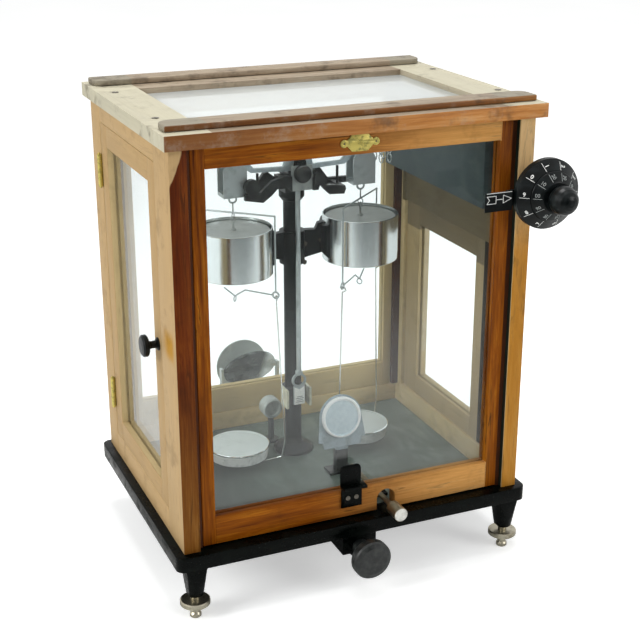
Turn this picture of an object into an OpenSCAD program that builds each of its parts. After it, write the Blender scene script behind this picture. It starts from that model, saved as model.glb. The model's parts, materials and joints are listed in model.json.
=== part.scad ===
// Analytical laboratory balance: a glazed wooden case on a black base plate, with
// sliding front and back sashes, hinged side doors, a black pillar that carries the
// beam, two air dampers, wire hangers with pans, a projection scale and a weight dial.
// X runs to the right, Y to the back and Z up. Everything is laid out about the middle
// of the case and then moved, so that the origin is below the middle of the whole part.

/* [Base] */
// Width of the base plate
base_w = 399; // [385:1:440]
// Depth of the base plate
base_d = 297; // [285:1:340]
// Distance of the base plate's middle in front of the case's middle
base_shift = 1; // [0:0.5:2]
// Thickness of the base plate
base_t = 15.5; // [10:0.5:25]
// Radius of the base plate's corners
base_corner_r = 9; // [2:1:20]
// Height of the base plate's underside above the table
base_z = 59.5; // [55:0.5:75]
// Thickness of the slate floor inside the case
floor_t = 2; // [1:0.5:4]

/* [Feet] */
// Distance between the two levelling feet
foot_spread = 359; // [320:1:370]
// Distance from the base plate's front edge to the levelling feet
foot_inset = 13; // [12:1:30]
// Width of a front leg under the base plate
leg_top_w = 23; // [18:1:26]
// Width of a front leg at its lower end
leg_bottom_w = 15; // [13:1:20]
// Height of a front leg
leg_h = 33; // [25:1:36]
// Diameter of a levelling disc
disc_d = 31; // [24:1:38]
// Thickness of a levelling disc
disc_t = 6; // [4:0.5:8]
// Height of a levelling disc's underside
disc_z = 14.5; // [10:0.5:17]
// Diameter of a levelling screw
foot_screw_d = 9; // [6:0.5:10]
// Diameter of the pad below a levelling disc
foot_pad_d = 12; // [9:0.5:16]
// Diameter of the fixed rear foot
rear_foot_d = 26; // [18:1:34]

/* [Case] */
// Width of the wooden case
case_w = 380; // [370:1:384]
// Depth of the wooden case
case_d = 282; // [276:1:284]
// Height of the wooden case between the base plate and the lid
case_h = 409.5; // [400:0.5:430]
// Thickness of the case's posts and rails
post_w = 17; // [15:0.5:20]
// Depth of the two front posts
front_post_d = 49; // [44:1:56]
// Depth of the two rear posts
rear_post_d = 35; // [30:1:42]
// Height of the rails below the side doors
sill_h = 27; // [22:1:34]
// Height of the rail above the left door
left_head_h = 21.5; // [16:0.5:30]
// Height of the board above the right door
right_head_h = 144; // [138:1:150]
// Height of the fixed rail below the rear sash
rear_rail_h = 23; // [18:1:30]
// Hairline left between two boards that meet
joint_gap = 0.06; // [0.05:0.01:0.1]

/* [Lid] */
// Overhang of the lid at each side
lid_side = 7; // [4:1:9]
// Overhang of the lid at the front
lid_front = 11; // [8:1:16]
// Overhang of the lid at the back
lid_back = 6; // [3:1:10]
// Thickness of the lid
lid_t = 14; // [11:0.5:18]
// Width of the lid's side boards
lid_side_board = 45; // [36:1:52]
// Width of the lid's front board
lid_front_board = 71; // [64:1:80]
// Width of the lid's rear board
lid_rear_board = 63; // [56:1:70]

/* [Sashes] */
// Distance of a sash behind the case's face
sash_inset = 6; // [5:0.5:8]
// Thickness of a sash
sash_t = 14; // [13:0.5:16]
// Width of a sash's stiles
stile_w = 13.5; // [11:0.5:18]
// Height of a sash's top rail below the lid
top_rail_h = 23; // [18:1:30]
// Height of a sash's bottom rail
bottom_rail_h = 30; // [26:1:38]
// Width of the cap strip on a sash
cap_w = 384; // [376:1:392]
// Depth of the cap strip on a sash
cap_d = 28; // [25:1:30]
// Thickness of the cap strip on a sash
cap_t = 6; // [4:0.5:9]
// Thickness of the glass
glass_t = 3; // [2:0.5:4]
// Depth of the groove that holds a pane
glass_groove = 6; // [4:0.5:8]
// Clearance of a sash in its guides
sash_fit = 0.4; // [0.3:0.05:0.6]
// Width of the dark guide strips beside a sash
guide_w = 4.5; // [4:0.5:6]

/* [Doors] */
// Width of the right door's stiles
right_stile_w = 31; // [24:1:36]
// Width of the left door's stiles
left_stile_w = 22; // [18:1:28]
// Height of the doors' rails
door_rail_h = 23; // [18:1:28]
// Thickness of a door
door_t = 14; // [12:0.5:17]
// Gap around a door
door_gap = 0.5; // [0.4:0.05:0.8]
// Length of a hinge
hinge_l = 35; // [28:1:44]
// Diameter of a hinge knuckle
knuckle_d = 5; // [4.5:0.1:5.5]
// Diameter of a hinge pin
hinge_pin_d = 2.4; // [2:0.1:2.8]
// Diameter of a door knob
door_knob_d = 22; // [18:1:26]
// How far a door knob stands out
door_knob_reach = 18; // [15:1:22]

/* [Pillar] */
// Distance of the beam behind the middle of the case
beam_y = 20; // [14:1:22]
// Distance of the pillar behind the beam
pillar_back = 18; // [17:0.5:20]
// Diameter of the pillar
pillar_d = 19; // [18:0.5:22]
// Diameter of the pillar's neck, on which the arrest arms slide
neck_d = 14; // [13:0.5:15]
// Diameter of the lifting rod in the pillar
rod_d = 6; // [5:0.5:7]
// Distance of the neck's lower end below the knife edges
neck_drop = 40.5; // [40:0.5:44]
// Length of the pillar's neck
neck_l = 17.5; // [16.5:0.5:18]

/* [Beam] */
// Length of one arm of the beam, from knife to knife
arm_l = 74; // [70:1:80]
// Distance of the knife edges below the lid
knife_drop = 56.5; // [53:0.5:58]
// Thickness of the beam
beam_t = 4; // [3:0.5:5]
// Height of the beam at its middle
beam_h = 28; // [24:1:30]
// Diameter of the pointer
pointer_d = 5.5; // [4:0.5:6]

/* [Hangers] */
// Diameter of the hanger wire
wire_d = 1.6; // [1.2:0.1:2]
// Half span of the bow that straddles a damper
bow_r = 47; // [46:0.5:49]
// Angle of a bow from the beam, seen from above
bow_turn = 42; // [38:1:46]
// Distance of the bow's top bar below the knife edges
bow_drop = 55; // [52:1:58]
// Height of the bow from its lower bar to its top bar
bow_h = 87; // [84:1:95]
// Half span of the pan wire near the pan
pan_wire_r = 56; // [50:1:60]
// Diameter of a pan
pan_d = 70; // [60:1:76]
// Height of a pan's rim above the table
pan_z = 104.5; // [102:0.5:110]
// Height of a pan's body
pan_h = 17; // [12:1:18]

/* [Dampers] */
// Outer diameter of a damper cup
cup_d = 84; // [76:1:86]
// Height of a damper cup
cup_h = 51; // [44:1:56]
// Distance of a damper cup's rim below the knife edges
cup_drop = 71; // [68:1:76]
// Wall of a damper cup
cup_wall = 1.2; // [1:0.1:2]
// Air gap between a cup and the bell that moves in it
air_gap = 2; // [1.5:0.1:2.5]

/* [Weight dial] */
// Distance of the dial's axis from the outside of the case
dial_inset = 7.5; // [7.5:0.1:8]
// Distance of the dial's axis below the lid
dial_drop = 69.5; // [65:0.5:76]
// Diameter of the outer dial
dial_d = 71; // [64:1:78]
// Diameter of the inner dial
inner_dial_d = 50; // [44:1:54]
// Distance of the outer dial's front face from the case
dial_front = 49; // [46:1:52]
// Diameter of the knob on the dial
dial_knob_d = 29; // [24:1:32]
// Diameter of the sleeve that carries the outer dial
sleeve_d = 8; // [7:0.5:8.5]
// Diameter of the shaft that carries the inner dial
dial_shaft_d = 5; // [4:0.5:5.5]

/* [Knobs] */
// Diameter of the arrest knob
arrest_knob_d = 42; // [36:1:46]
// Height of the arrest knob's axis above the table
arrest_z = 44; // [40:0.5:46]
// Diameter of the arrest shaft
arrest_shaft_d = 9; // [7:0.5:10]
// Distance of the zero knob to the right of the middle
zero_x = 35; // [30:1:38]
// Height of the zero knob's axis above the table
zero_z = 86; // [85:0.5:90]
// Diameter of the zero knob
zero_knob_d = 15; // [12:0.5:16]
// Diameter of the zero knob's shaft
zero_shaft_d = 6; // [5:0.5:7]

/* [Scale projection] */
// Distance of the screen to the right of the middle
screen_x = 25; // [22:1:26]
// Distance of the screen in front of the middle
screen_y = 38; // [36:1:44]
// Height of the screen's centre above the table
screen_z = 144; // [140:1:150]
// Outer diameter of the screen ring
screen_d = 46; // [40:1:48]
// Lean of the screen from upright
screen_lean = 10; // [6:1:14]
// Diameter of the mirror behind the case
mirror_d = 66; // [50:1:68]
// Distance of the mirror's axis behind the case
mirror_back = 30; // [28:1:36]
// Height of the mirror's axis above the table
mirror_z = 128; // [122:1:136]

/* [Hidden] */
$fn = 64;

// Facets of a small round piece, which is rebuilt as a true circle
fine = 32;
// Running clearance of a shaft in its bore, on the radius
run = 0.06;
// Clearance between pieces that move past each other
clear = 0.4;
// Small overlap that lets a cut or a join pass a face
eps = 0.02;

floor_z = base_z + base_t;
lid_z = floor_z + case_h;
lid_top_z = lid_z + lid_t;
knife_z = lid_z - knife_drop;
dial_z = lid_z - dial_drop;
neck_z = knife_z - neck_drop;
bow_top_z = knife_z - bow_drop;
bow_low_z = bow_top_z - bow_h;
cup_z = knife_z - cup_drop;
case_x = case_w / 2;
case_y = case_d / 2;
inner_x = case_x - post_w;
lid_x = case_x + lid_side;
lid_y0 = -case_y - lid_front;
lid_y1 = case_y + lid_back;
foot_x = foot_spread / 2;
foot_y = -base_d / 2 - base_shift + foot_inset;
rear_foot_y = case_y - rear_foot_d / 2;
pillar_y = beam_y + pillar_back;
pillar_foot_d = 46;
collar_d = 28;
neck_top_z = neck_z + neck_l;

// Sashes: the guide strips lie in front of and behind a sash's edge
sash_z = floor_z + 1.5;
sash_x = inner_x - sash_fit;
sash_face_x = inner_x - guide_w - sash_fit;
sash_y = -case_y + sash_inset;
window_x = sash_face_x - stile_w;
lip_t = 5.6;
inner_lip_w = 8;
inner_lip_t = 6;
rear_sash_z = floor_z + rear_rail_h + 0.5;
sash_seat = 0.3;
slot_front = 2;
slot_y0 = sash_y - slot_front;
slot_y1 = sash_y + sash_t + sash_fit;
slot_x = sash_x + sash_fit;
lid_window_y0 = lid_y0 + lid_front_board;
lid_window_y1 = lid_y1 - lid_rear_board;
lid_window_x = lid_x - lid_side_board;
arch_w = 21;
arch_top = 99;
screw_d = 7;
lid_screw_xs = [-lid_x + 17, lid_x - 10];
lid_screw_ys = [-71, 72];
lift_screw_d = 5;
lift_screw_xs = [-4.5, 5];
lift_screw_z = 99;

// Finger lift and the blank plate on the front sash
lift_x = -6;
lift_w = 23;
lift_z0 = 88;
lift_t = 2.5;
ledge_z = 112;
ledge_reach = 12;
lift_top_z = 136;
plate_half = 20.4;
plate_h = 16.4;
plate_lobe_r = 3.8;
plate_z = lid_z - top_rail_h / 2;
plate_t = 1.2;

// Doors and their hinges
door_y0 = -case_y + front_post_d + door_gap;
door_y1 = case_y - rear_post_d - 2.2;
door_z = floor_z + sill_h + door_gap;
left_door_top = lid_z - left_head_h - door_gap;
right_door_top = lid_z - right_head_h - door_gap;
leaf_t = 0.9;
leaf_w = 12;
hinge_x = case_x + knuckle_d / 2 + 0.1;
hinge_y = door_y1 + 1.1;
hinge_inset = 34;
knob_y = door_y0 + 10;
knob_z = 279;

// Fork that holds the middle bearing on both sides of the beam
fork_w = 24;
fork_gap = beam_t + 4;
tine_t = 6;
fork_base_h = 4;
bearing_w = 7;
fork_y = beam_y - fork_gap / 2 - tine_t;
cover_plate_t = 2;
knife_d = 3;
touch = 0.1;

// Arrest mechanism: at rest the arms and the pan stops are up
lift_travel = 3;
stop_rod_d = 6;
stop_d = 24;
stop_top_z = pan_z - pan_h - wire_d - 2.6;
stop_head_t = 2.8;
bar_t = 3.9;
bar_z = base_z - bar_t - clear;
cam_r = 9;
cam_turn = 90;
pin_d = 3.6;
sleeve_z0 = neck_z + lift_travel + 0.3;
sleeve_z1 = neck_top_z - 0.5;
arm_t = 5;
front_arm_y = fork_y - cover_plate_t - arm_t;
rear_arm_y = pillar_y - arm_t / 2;

// Dampers
cup_floor_z = cup_z - cup_h;
cup_seam_z = cup_floor_z + 8;
damper_turn = atan2(pillar_back, arm_l);
damper_reach = norm([arm_l, pillar_back]);
flange_t = 3.2;

// Hangers
stirrup_w = 26;
stirrup_y = 10;
stirrup_t = 1.6;
stirrup_z0 = knife_z - 37;
bridge_z = knife_z + touch;
bridge_h = 5;
stirrup_z1 = bridge_z + bridge_h;
ring_r = 3.4;
ring_wire = wire_d + 0.5;
link_r = 3;
link_wire = 1.2;
link_z = bow_top_z - link_r;
pan_play = 0.35;

// Weight dial and the loader behind the side board
dial_x = case_x - dial_inset;
dial_y = -case_y - dial_front;
dial_t = 16;
dial_cone = 7.8;
inner_dial_t = 8;
dial_knob_mid = 18.9;
channel_h = 16;
channel_l = 78;
channel_wall = 2;
gear_r = 5;
gear_teeth = 14;
index_w = 30;
index_h = 19;
index_t = 1.4;
cover_w = 23;
cover_y = 113;
cover_z0 = dial_z - 29;
cover_wall = 1.5;
loader_z = knife_z + 8;
loader_ys = [beam_y - 8, beam_y + 8];
loader_x = arm_l + 14;

// Scale projection
graticule_z = 151;
graticule_h = 22;
graticule_w = 13;
arch_r = 8.5;
arch_wire = 2.4;
carrier_gap = 25.2;
carrier_z = graticule_z - 4;
condenser_x = -16.6;
condenser_back = 24;
condenser_z = graticule_z - 31;
screen_plate_t = 2;

// Mirror behind the case, which sets how far the part reaches to the back
mirror_x = -4;
mirror_y = case_y + mirror_back;
mirror_lean = -55;
mirror_t = 3;
pivot_d = 2.6;
shade_drop = 7;
shade_t = 2;
shade_y = mirror_y + mirror_d * 0.37 + 4;

// Extent of the whole part, which places the origin in its middle
part_x0 = -case_x - door_knob_reach;
part_x1 = dial_x + dial_d / 2;
part_y0 = dial_y - clear - dial_knob_mid - dial_knob_d / 2;
part_y1 = shade_y + shade_t;
mid_x = (part_x0 + part_x1) / 2;
mid_y = (part_y0 + part_y1) / 2;

module placed() {
    translate([-mid_x, -mid_y, 0]) children();
}

// Box between a low and a high corner
module block(low, high) {
    translate(low) cube(high - low);
}

// Cylinder from a point along +X, +Y or +Z
module rod_x(p, l, d) {
    translate(p) rotate([0, 90, 0]) cylinder(h = l, d = d);
}
module rod_y(p, l, d) {
    translate(p) rotate([-90, 0, 0]) cylinder(h = l, d = d);
}
module rod_z(p, l, d) {
    translate(p) cylinder(h = l, d = d);
}

// Straight piece of wire between two points
module wire(p, q, d = wire_d) {
    v = q - p;
    l = norm(v);
    turn = atan2(v[1], v[0]);
    tip = acos(v[2] / l);
    translate(p) rotate([0, tip, turn]) cylinder(h = l, d = d, $fn = fine);
}

// Bent wire through a list of points, with a round bead at each bend
module bent_wire(points, d = wire_d) {
    for (i = [0 : len(points) - 2]) wire(points[i], points[i + 1], d);
    for (i = [1 : len(points) - 2]) translate(points[i]) sphere(d = d * 1.06, $fn = fine);
}

// Small ring of wire that stands upright, turned about Z
module eyelet(p, r, d = wire_d, turn = 0) {
    translate(p) rotate([90, 0, turn]) rotate_extrude($fn = fine)
        translate([r, 0]) circle(d = d, $fn = 16);
}

// Plate in the XZ plane, from one Y to another
module plate_xz(points, y0, y1) {
    translate([0, y1, 0]) rotate([90, 0, 0]) linear_extrude(y1 - y0) polygon(points);
}

// Round piece about an axis along Y: each point is a radius and a distance to the front
module turned_front(p, points) {
    translate(p) rotate([90, 0, 0]) rotate_extrude() polygon(points);
}

// Round piece about an upright axis
module turned_up(p, points) {
    translate(p) rotate_extrude() polygon(points);
}

// Slotted countersunk screw head on a face that looks along +Z
module screw_up(p, d, turn = 0) {
    translate(p) difference() {
        union() {
            cylinder(h = 0.5, d = d, $fn = fine);
            translate([0, 0, -4]) cylinder(h = 4 + eps, d = d * 0.5, $fn = fine);
        }
        rotate([0, 0, turn]) translate([-d, -d * 0.07, 0.2]) cube([2 * d, d * 0.14, 1]);
    }
}

// Slotted screw head on a face that looks to the front
module screw_front(p, d, turn = 0, depth = 3) {
    translate(p) rotate([90, 0, 0]) difference() {
        union() {
            cylinder(h = 0.9, d = d, $fn = fine);
            translate([0, 0, -depth]) cylinder(h = depth + eps, d = d * 0.5, $fn = fine);
        }
        rotate([0, 0, turn]) translate([-d, -d * 0.08, 0.4]) cube([2 * d, d * 0.16, 1]);
    }
}

// Base and feet

module base_outline() {
    r = base_corner_r;
    x = base_w / 2 - r;
    y0 = -base_d / 2 - base_shift + r;
    y1 = base_d / 2 - base_shift - r;
    for (p = [[-x, y0], [x, y0], [x, y1], [-x, y1]]) translate(p) circle(r);
    translate([-x - r, y0]) square([2 * (x + r), y1 - y0]);
    translate([-x, y0 - r]) square([2 * x, y1 - y0 + 2 * r]);
}

module base_plate() {
    color("#1b1f1e") placed() difference() {
        translate([0, 0, base_z]) linear_extrude(base_t) base_outline();
        rod_z([0, pillar_y, base_z - eps], base_t + 2 * eps, rod_d + 2 * run);
        for (side = [-1, 1])
            rod_z([side * arm_l, beam_y, base_z - eps], base_t + 2 * eps, stop_rod_d + 2 * run);
    }
}

module base_legs() {
    slope = (leg_top_w - leg_bottom_w) / 2;
    color("#1b1f1e") placed() for (side = [-1, 1]) difference() {
        translate([side * foot_x, foot_y, base_z - leg_h]) intersection() {
            plate_xz([[-leg_bottom_w / 2, 0], [leg_bottom_w / 2, 0],
                      [leg_bottom_w / 2 + slope * 0.6, leg_h * 0.78],
                      [leg_top_w / 2, leg_h], [-leg_top_w / 2, leg_h],
                      [-leg_bottom_w / 2 - slope * 0.6, leg_h * 0.78]],
                     -leg_top_w / 2, leg_top_w / 2);
            cylinder(h = leg_h, d1 = leg_bottom_w * 1.25, d2 = leg_top_w * 1.35);
        }
        rod_z([side * foot_x, foot_y, base_z - leg_h - eps], leg_h * 0.8,
              foot_screw_d + 2 * run);
    }
    color("#1b1f1e") placed() turned_up([0, rear_foot_y, 0], [
        [0, 0], [rear_foot_d / 2 - 1, 0], [rear_foot_d / 2, 1], [rear_foot_d / 2, 7],
        [rear_foot_d * 0.32, 12], [rear_foot_d * 0.32, base_z - 9],
        [rear_foot_d / 2, base_z - 4], [rear_foot_d / 2, base_z], [0, base_z]]);
}

module foot_screw(side) {
    color("#b9b6a6") placed() {
        turned_up([side * foot_x, foot_y, 0], [
            [0, 0], [foot_pad_d / 2 - 1, 0], [foot_pad_d / 2, 1], [foot_pad_d / 2, 4],
            [foot_pad_d / 2 - 1.6, 6], [foot_screw_d / 2, disc_z - 2],
            [disc_d / 2 - 1.2, disc_z], [disc_d / 2, disc_z + 1],
            [disc_d / 2, disc_z + disc_t - 1], [disc_d / 2 - 1.2, disc_z + disc_t],
            [foot_screw_d / 2, disc_z + disc_t], [foot_screw_d / 2, base_z - leg_h * 0.35],
            [0, base_z - leg_h * 0.35]]);
    }
}

module left_foot_screw() {
    foot_screw(-1);
}

module right_foot_screw() {
    foot_screw(1);
}

module floor_slate() {
    color("#59625f") placed() difference() {
        block([-inner_x + clear, -case_y + sash_inset + sash_t + 1, floor_z],
              [inner_x - clear, case_y - sash_inset - sash_t - 2, floor_z + floor_t]);
        rod_z([0, pillar_y, floor_z - eps], floor_t + 2 * eps, pillar_foot_d);
        for (side = [-1, 1])
            rod_z([side * arm_l, beam_y, floor_z - eps], floor_t + 2 * eps, stop_rod_d + 1);
    }
}

// Wooden case

// Corner post at one side, between two distances from the front
module post(side, y0, y1) {
    x0 = side < 0 ? -case_x : inner_x;
    block([x0, y0, floor_z], [x0 + post_w, y1, lid_z]);
}

module corner_posts() {
    color("#9a6026") placed() {
        post(-1, -case_y, -case_y + front_post_d);
        difference() {
            post(1, -case_y, -case_y + front_post_d);
            rod_y([dial_x, -case_y - eps, dial_z], front_post_d + 2 * eps,
                  sleeve_d + 2 * run);
        }
        for (side = [-1, 1]) post(side, case_y - rear_post_d, case_y);
    }
}

module case_rails() {
    y0 = -case_y + front_post_d + joint_gap;
    y1 = case_y - rear_post_d - joint_gap;
    color("#a86a2c") placed() {
        for (x = [-case_x, inner_x])
            block([x, y0, floor_z], [x + post_w, y1, floor_z + sill_h]);
        block([-case_x, y0, lid_z - left_head_h], [-inner_x, y1, lid_z]);
        difference() {
            block([inner_x, y0, lid_z - right_head_h], [case_x, y1, lid_z]);
            block([inner_x - eps, y0 - eps, dial_z - channel_h / 2],
                  [case_x - channel_wall, y0 + channel_l, dial_z + channel_h / 2]);
        }
        block([-inner_x + joint_gap, case_y - sash_inset - sash_t - 1, floor_z],
              [inner_x - joint_gap, case_y - 2, floor_z + rear_rail_h]);
    }
}
// Dark strips that guide a sash: a front lip and an inner lip at one side
module guide_pair(side, z0) {
    mirror([side < 0 ? 1 : 0, 0, 0]) {
        block([inner_x - guide_w, sash_y + 1, z0],
              [inner_x, sash_y + lip_t, lid_z - joint_gap]);
        block([inner_x - inner_lip_w, sash_y + sash_t + clear, z0 + floor_t + touch],
              [inner_x, sash_y + sash_t + clear + inner_lip_t, lid_z - joint_gap]);
    }
}

module sash_guides() {
    color("#141210") placed() for (side = [-1, 1]) {
        guide_pair(side, floor_z);
        mirror([0, 1, 0]) guide_pair(side, floor_z + rear_rail_h);
    }
}

// The lid is made of boards, parted by the two slots through which the sashes rise.
module lid_end_board(y0, s0, s1, y1) {
    block([-lid_x, y0, lid_z], [lid_x, s0, lid_top_z]);
    block([-lid_x, s1, lid_z], [lid_x, y1, lid_top_z]);
    for (x = [[-lid_x, -slot_x], [slot_x, lid_x]])
        block([x[0], s0 + joint_gap, lid_z], [x[1], s1 - joint_gap, lid_top_z]);
}

module lid_frame() {
    color("#8d7a62") placed() difference() {
        union() {
            lid_end_board(lid_y0, slot_y0, slot_y1, lid_window_y0);
            lid_end_board(lid_window_y1, -slot_y1, -slot_y0, lid_y1);
            for (x = [[-lid_x, -lid_window_x], [lid_window_x, lid_x]])
                block([x[0], lid_window_y0 + joint_gap, lid_z],
                      [x[1], lid_window_y1 - joint_gap, lid_top_z]);
        }
        lid_pane(joint_gap);
        for (x = lid_screw_xs, y = lid_screw_ys)
            rod_z([x, y, lid_top_z - 5], 6, screw_d / 2 + 2 * joint_gap);
    }
}

module lid_pane(grow) {
    block([-lid_window_x - glass_groove - grow, lid_window_y0 - glass_groove - grow,
           lid_z + 5 - grow],
          [lid_window_x + glass_groove + grow, lid_window_y1 + glass_groove + grow,
           lid_z + 5 + glass_t + grow]);
}

module lid_glass() {
    color("#dfe8e6") placed() lid_pane(0);
}

module fixing_screws() {
    color("#7c7468") placed() {
        for (x = lid_screw_xs, y = lid_screw_ys)
            screw_up([x, y, lid_top_z], screw_d, x + y);
        for (x = [-6.5, 6.5])
            screw_front([dial_x + x, -case_y - 4, dial_z - 21], 4.5, 30, 3);
    }
}

// Sashes

// Frame of a sash: two stiles and two rails, with a groove for the pane
module sash_frame(z0) {
    rail_z = z0 + bottom_rail_h;
    head_z = lid_z - top_rail_h;
    top = lid_top_z + sash_seat;
    difference() {
        union() {
            for (side = [-1, 1]) {
                low_a = side < 0 ? -sash_face_x : window_x;
                low_b = side < 0 ? -sash_x : window_x;
                block([low_a, sash_y, z0], [low_a + stile_w, sash_y + sash_t, top]);
                block([low_b, sash_y + lip_t + clear, z0],
                      [low_b + sash_x - window_x, sash_y + sash_t, top]);
            }
            for (z = [[z0, rail_z], [head_z, top]])
                block([-window_x + joint_gap, sash_y, z[0]],
                      [window_x - joint_gap, sash_y + sash_t, z[1]]);
        }
        sash_pane(z0, joint_gap);
    }
}

module sash_pane(z0, grow) {
    y = sash_y + sash_t / 2;
    block([-window_x - glass_groove - grow, y - grow, z0 + bottom_rail_h - glass_groove - grow],
          [window_x + glass_groove + grow, y + glass_t + grow,
           lid_z - top_rail_h + glass_groove + grow]);
}

// Cap strip that covers the slot in the lid, with its outer corners rounded
module sash_cap() {
    r = 12;
    y0 = -case_y + 3;
    translate([0, 0, lid_top_z + sash_seat]) linear_extrude(cap_t) {
        for (x = [-1, 1]) translate([x * (cap_w / 2 - r), y0 + cap_d - r]) circle(r);
        translate([-cap_w / 2 + r, y0]) square([cap_w - 2 * r, cap_d]);
        translate([-cap_w / 2, y0]) square([cap_w, cap_d - r]);
    }
}

module front_sash_frame() {
    color("#9c5f24") placed() difference() {
        sash_frame(sash_z);
        block([zero_x - arch_w / 2, sash_y - 1, sash_z - 1],
              [zero_x + arch_w / 2, sash_y + sash_t + 1, arch_top - arch_w / 2]);
        rod_y([zero_x, sash_y - 1, arch_top - arch_w / 2], sash_t + 2, arch_w);
    }
}

module front_sash_glass() {
    color("#dfe8e6") placed() sash_pane(sash_z, 0);
}

module front_sash_cap() {
    color("#8d7a62") placed() sash_cap();
}

module rear_sash_frame() {
    color("#9c5f24") placed() mirror([0, 1, 0]) sash_frame(rear_sash_z);
}

module rear_sash_glass() {
    color("#dfe8e6") placed() mirror([0, 1, 0]) sash_pane(rear_sash_z, 0);
}

module rear_sash_cap() {
    color("#8d7a62") placed() mirror([0, 1, 0]) sash_cap();
}

// Black casting on the sash's bottom rail, with a ledge for the fingers
module finger_lift() {
    x0 = lift_x - lift_w / 2;
    x1 = lift_x + lift_w / 2;
    color("#101413") placed() {
        difference() {
            block([x0, sash_y - lift_t, lift_z0], [x1, sash_y, ledge_z]);
            for (x = lift_screw_xs)
                rod_y([lift_x + x, sash_y - lift_t - 1, lift_screw_z], lift_t + 2,
                      lift_screw_d / 2 + 2 * joint_gap);
        }
        block([x0 - 1, sash_y - ledge_reach, ledge_z - eps],
              [x1 + 2, sash_y, ledge_z + 3]);
        translate([0, sash_y, 0]) rotate([90, 0, 0]) linear_extrude(lift_t - 0.5) {
            translate([x0 - 1, ledge_z + 2]) square([lift_w, lift_top_z - ledge_z - 7]);
            translate([x0 + 4, ledge_z + 4]) square([lift_w - 10, lift_top_z - ledge_z - 4]);
            for (x = [x0 + 4, x1 - 6]) translate([x, lift_top_z - 5]) circle(5, $fn = fine);
        }
    }
}

module name_plate() {
    r = plate_lobe_r;
    x = plate_half - r;
    color("#a8984e") placed() translate([0, sash_y, 0]) rotate([90, 0, 0])
        linear_extrude(plate_t) translate([0, plate_z]) difference() {
            union() {
                polygon([[-x, -2.2], [-x + 3, -2.6], [-plate_half * 0.4, -plate_h / 2],
                         [plate_half * 0.4, -plate_h / 2], [x - 3, -2.6], [x, -2.2],
                         [x, 2.2], [x - 3, 2.6], [plate_half * 0.4, plate_h / 2],
                         [-plate_half * 0.4, plate_h / 2], [-x + 3, 2.6], [-x, 2.2]]);
                for (side = [-1, 1]) translate([side * x, 0]) circle(r, $fn = fine);
            }
            for (side = [-1, 1]) translate([side * x, 0]) circle(0.8, $fn = 16);
        }
}

module sash_screws() {
    color("#8f8a78") placed() {
        for (x = lift_screw_xs)
            screw_front([lift_x + x, sash_y - lift_t, lift_screw_z], lift_screw_d, x * 20, 2);
        for (x = [-1, 1])
            translate([x * (plate_half - plate_lobe_r), sash_y - plate_t + 0.5, plate_z])
                rotate([90, 0, 0]) cylinder(h = 0.9, d = 1.5, $fn = 16);
    }
}

// Doors

// Door in its own side's wall: two stiles and two rails with a groove for the pane
module door_frame(side, stile, top) {
    x0 = side < 0 ? -case_x : case_x - door_t;
    difference() {
        union() {
            for (y = [[door_y0, door_y0 + stile], [door_y1 - stile, door_y1]])
                block([x0, y[0], door_z], [x0 + door_t, y[1], top]);
            for (z = [[door_z, door_z + door_rail_h], [top - door_rail_h, top]])
                block([x0, door_y0 + stile + joint_gap, z[0]],
                      [x0 + door_t, door_y1 - stile - joint_gap, z[1]]);
        }
        door_pane(side, stile, top, joint_gap);
    }
}

module door_pane(side, stile, top, grow) {
    x = side < 0 ? -case_x + door_t / 2 : case_x - door_t / 2 - glass_t;
    block([x - grow, door_y0 + stile - glass_groove - grow,
           door_z + door_rail_h - glass_groove - grow],
          [x + glass_t + grow, door_y1 - stile + glass_groove + grow,
           top - door_rail_h + glass_groove + grow]);
}

module left_door_frame() {
    color("#b98a52") placed() door_frame(-1, left_stile_w, left_door_top);
}

module left_door_glass() {
    color("#dfe8e6") placed() door_pane(-1, left_stile_w, left_door_top, 0);
}

module right_door_frame() {
    color("#b98a52") placed() door_frame(1, right_stile_w, right_door_top);
}

module right_door_glass() {
    color("#dfe8e6") placed() door_pane(1, right_stile_w, right_door_top, 0);
}

// Turned knob that stands out from a door, drawn for the right side
module door_knob(side) {
    color("#131414") placed() mirror([side < 0 ? 1 : 0, 0, 0])
        translate([case_x, knob_y, knob_z]) rotate([0, 90, 0]) rotate_extrude() polygon([
            [0, 0], [6.5, 0], [6.5, 1.2], [4, 3], [3.6, 7], [4.4, 9.5],
            [door_knob_d / 2 - 1.5, 11], [door_knob_d / 2, 12.2],
            [door_knob_d / 2, door_knob_reach - 2.2],
            [door_knob_d / 2 - 1.8, door_knob_reach - 0.6], [4, door_knob_reach],
            [0, door_knob_reach]]);
}

module left_door_knob() {
    door_knob(-1);
}

module right_door_knob() {
    door_knob(1);
}

// Heights of the lower ends of a door's two hinges
function hinge_zs(top) = [door_z + hinge_inset, top - hinge_inset - hinge_l];

// Fixed half of a butt hinge: a leaf on the post, two knuckles and the pin
module fixed_half(side, z) {
    third = hinge_l / 3;
    mirror([side < 0 ? 1 : 0, 0, 0]) {
        block([case_x - leaf_w, hinge_y + 1.1 - leaf_t, z],
              [case_x + 0.3, hinge_y + 1.1 - eps, z + third - 0.2]);
        block([case_x - leaf_w, hinge_y + 1.1 - leaf_t, z + 2 * third + 0.2],
              [case_x + 0.3, hinge_y + 1.1 - eps, z + hinge_l]);
        block([case_x - leaf_w, hinge_y + 1.1 - leaf_t, z],
              [case_x - 3.4, hinge_y + 1.1 - eps, z + hinge_l]);
        for (dz = [[0, third - 0.2], [2 * third + 0.2, hinge_l]]) {
            rod_z([hinge_x, hinge_y, z + dz[0]], dz[1] - dz[0], knuckle_d);
        }
        rod_z([hinge_x, hinge_y, z - 1.5], hinge_l + 3, hinge_pin_d);
    }
}

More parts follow.
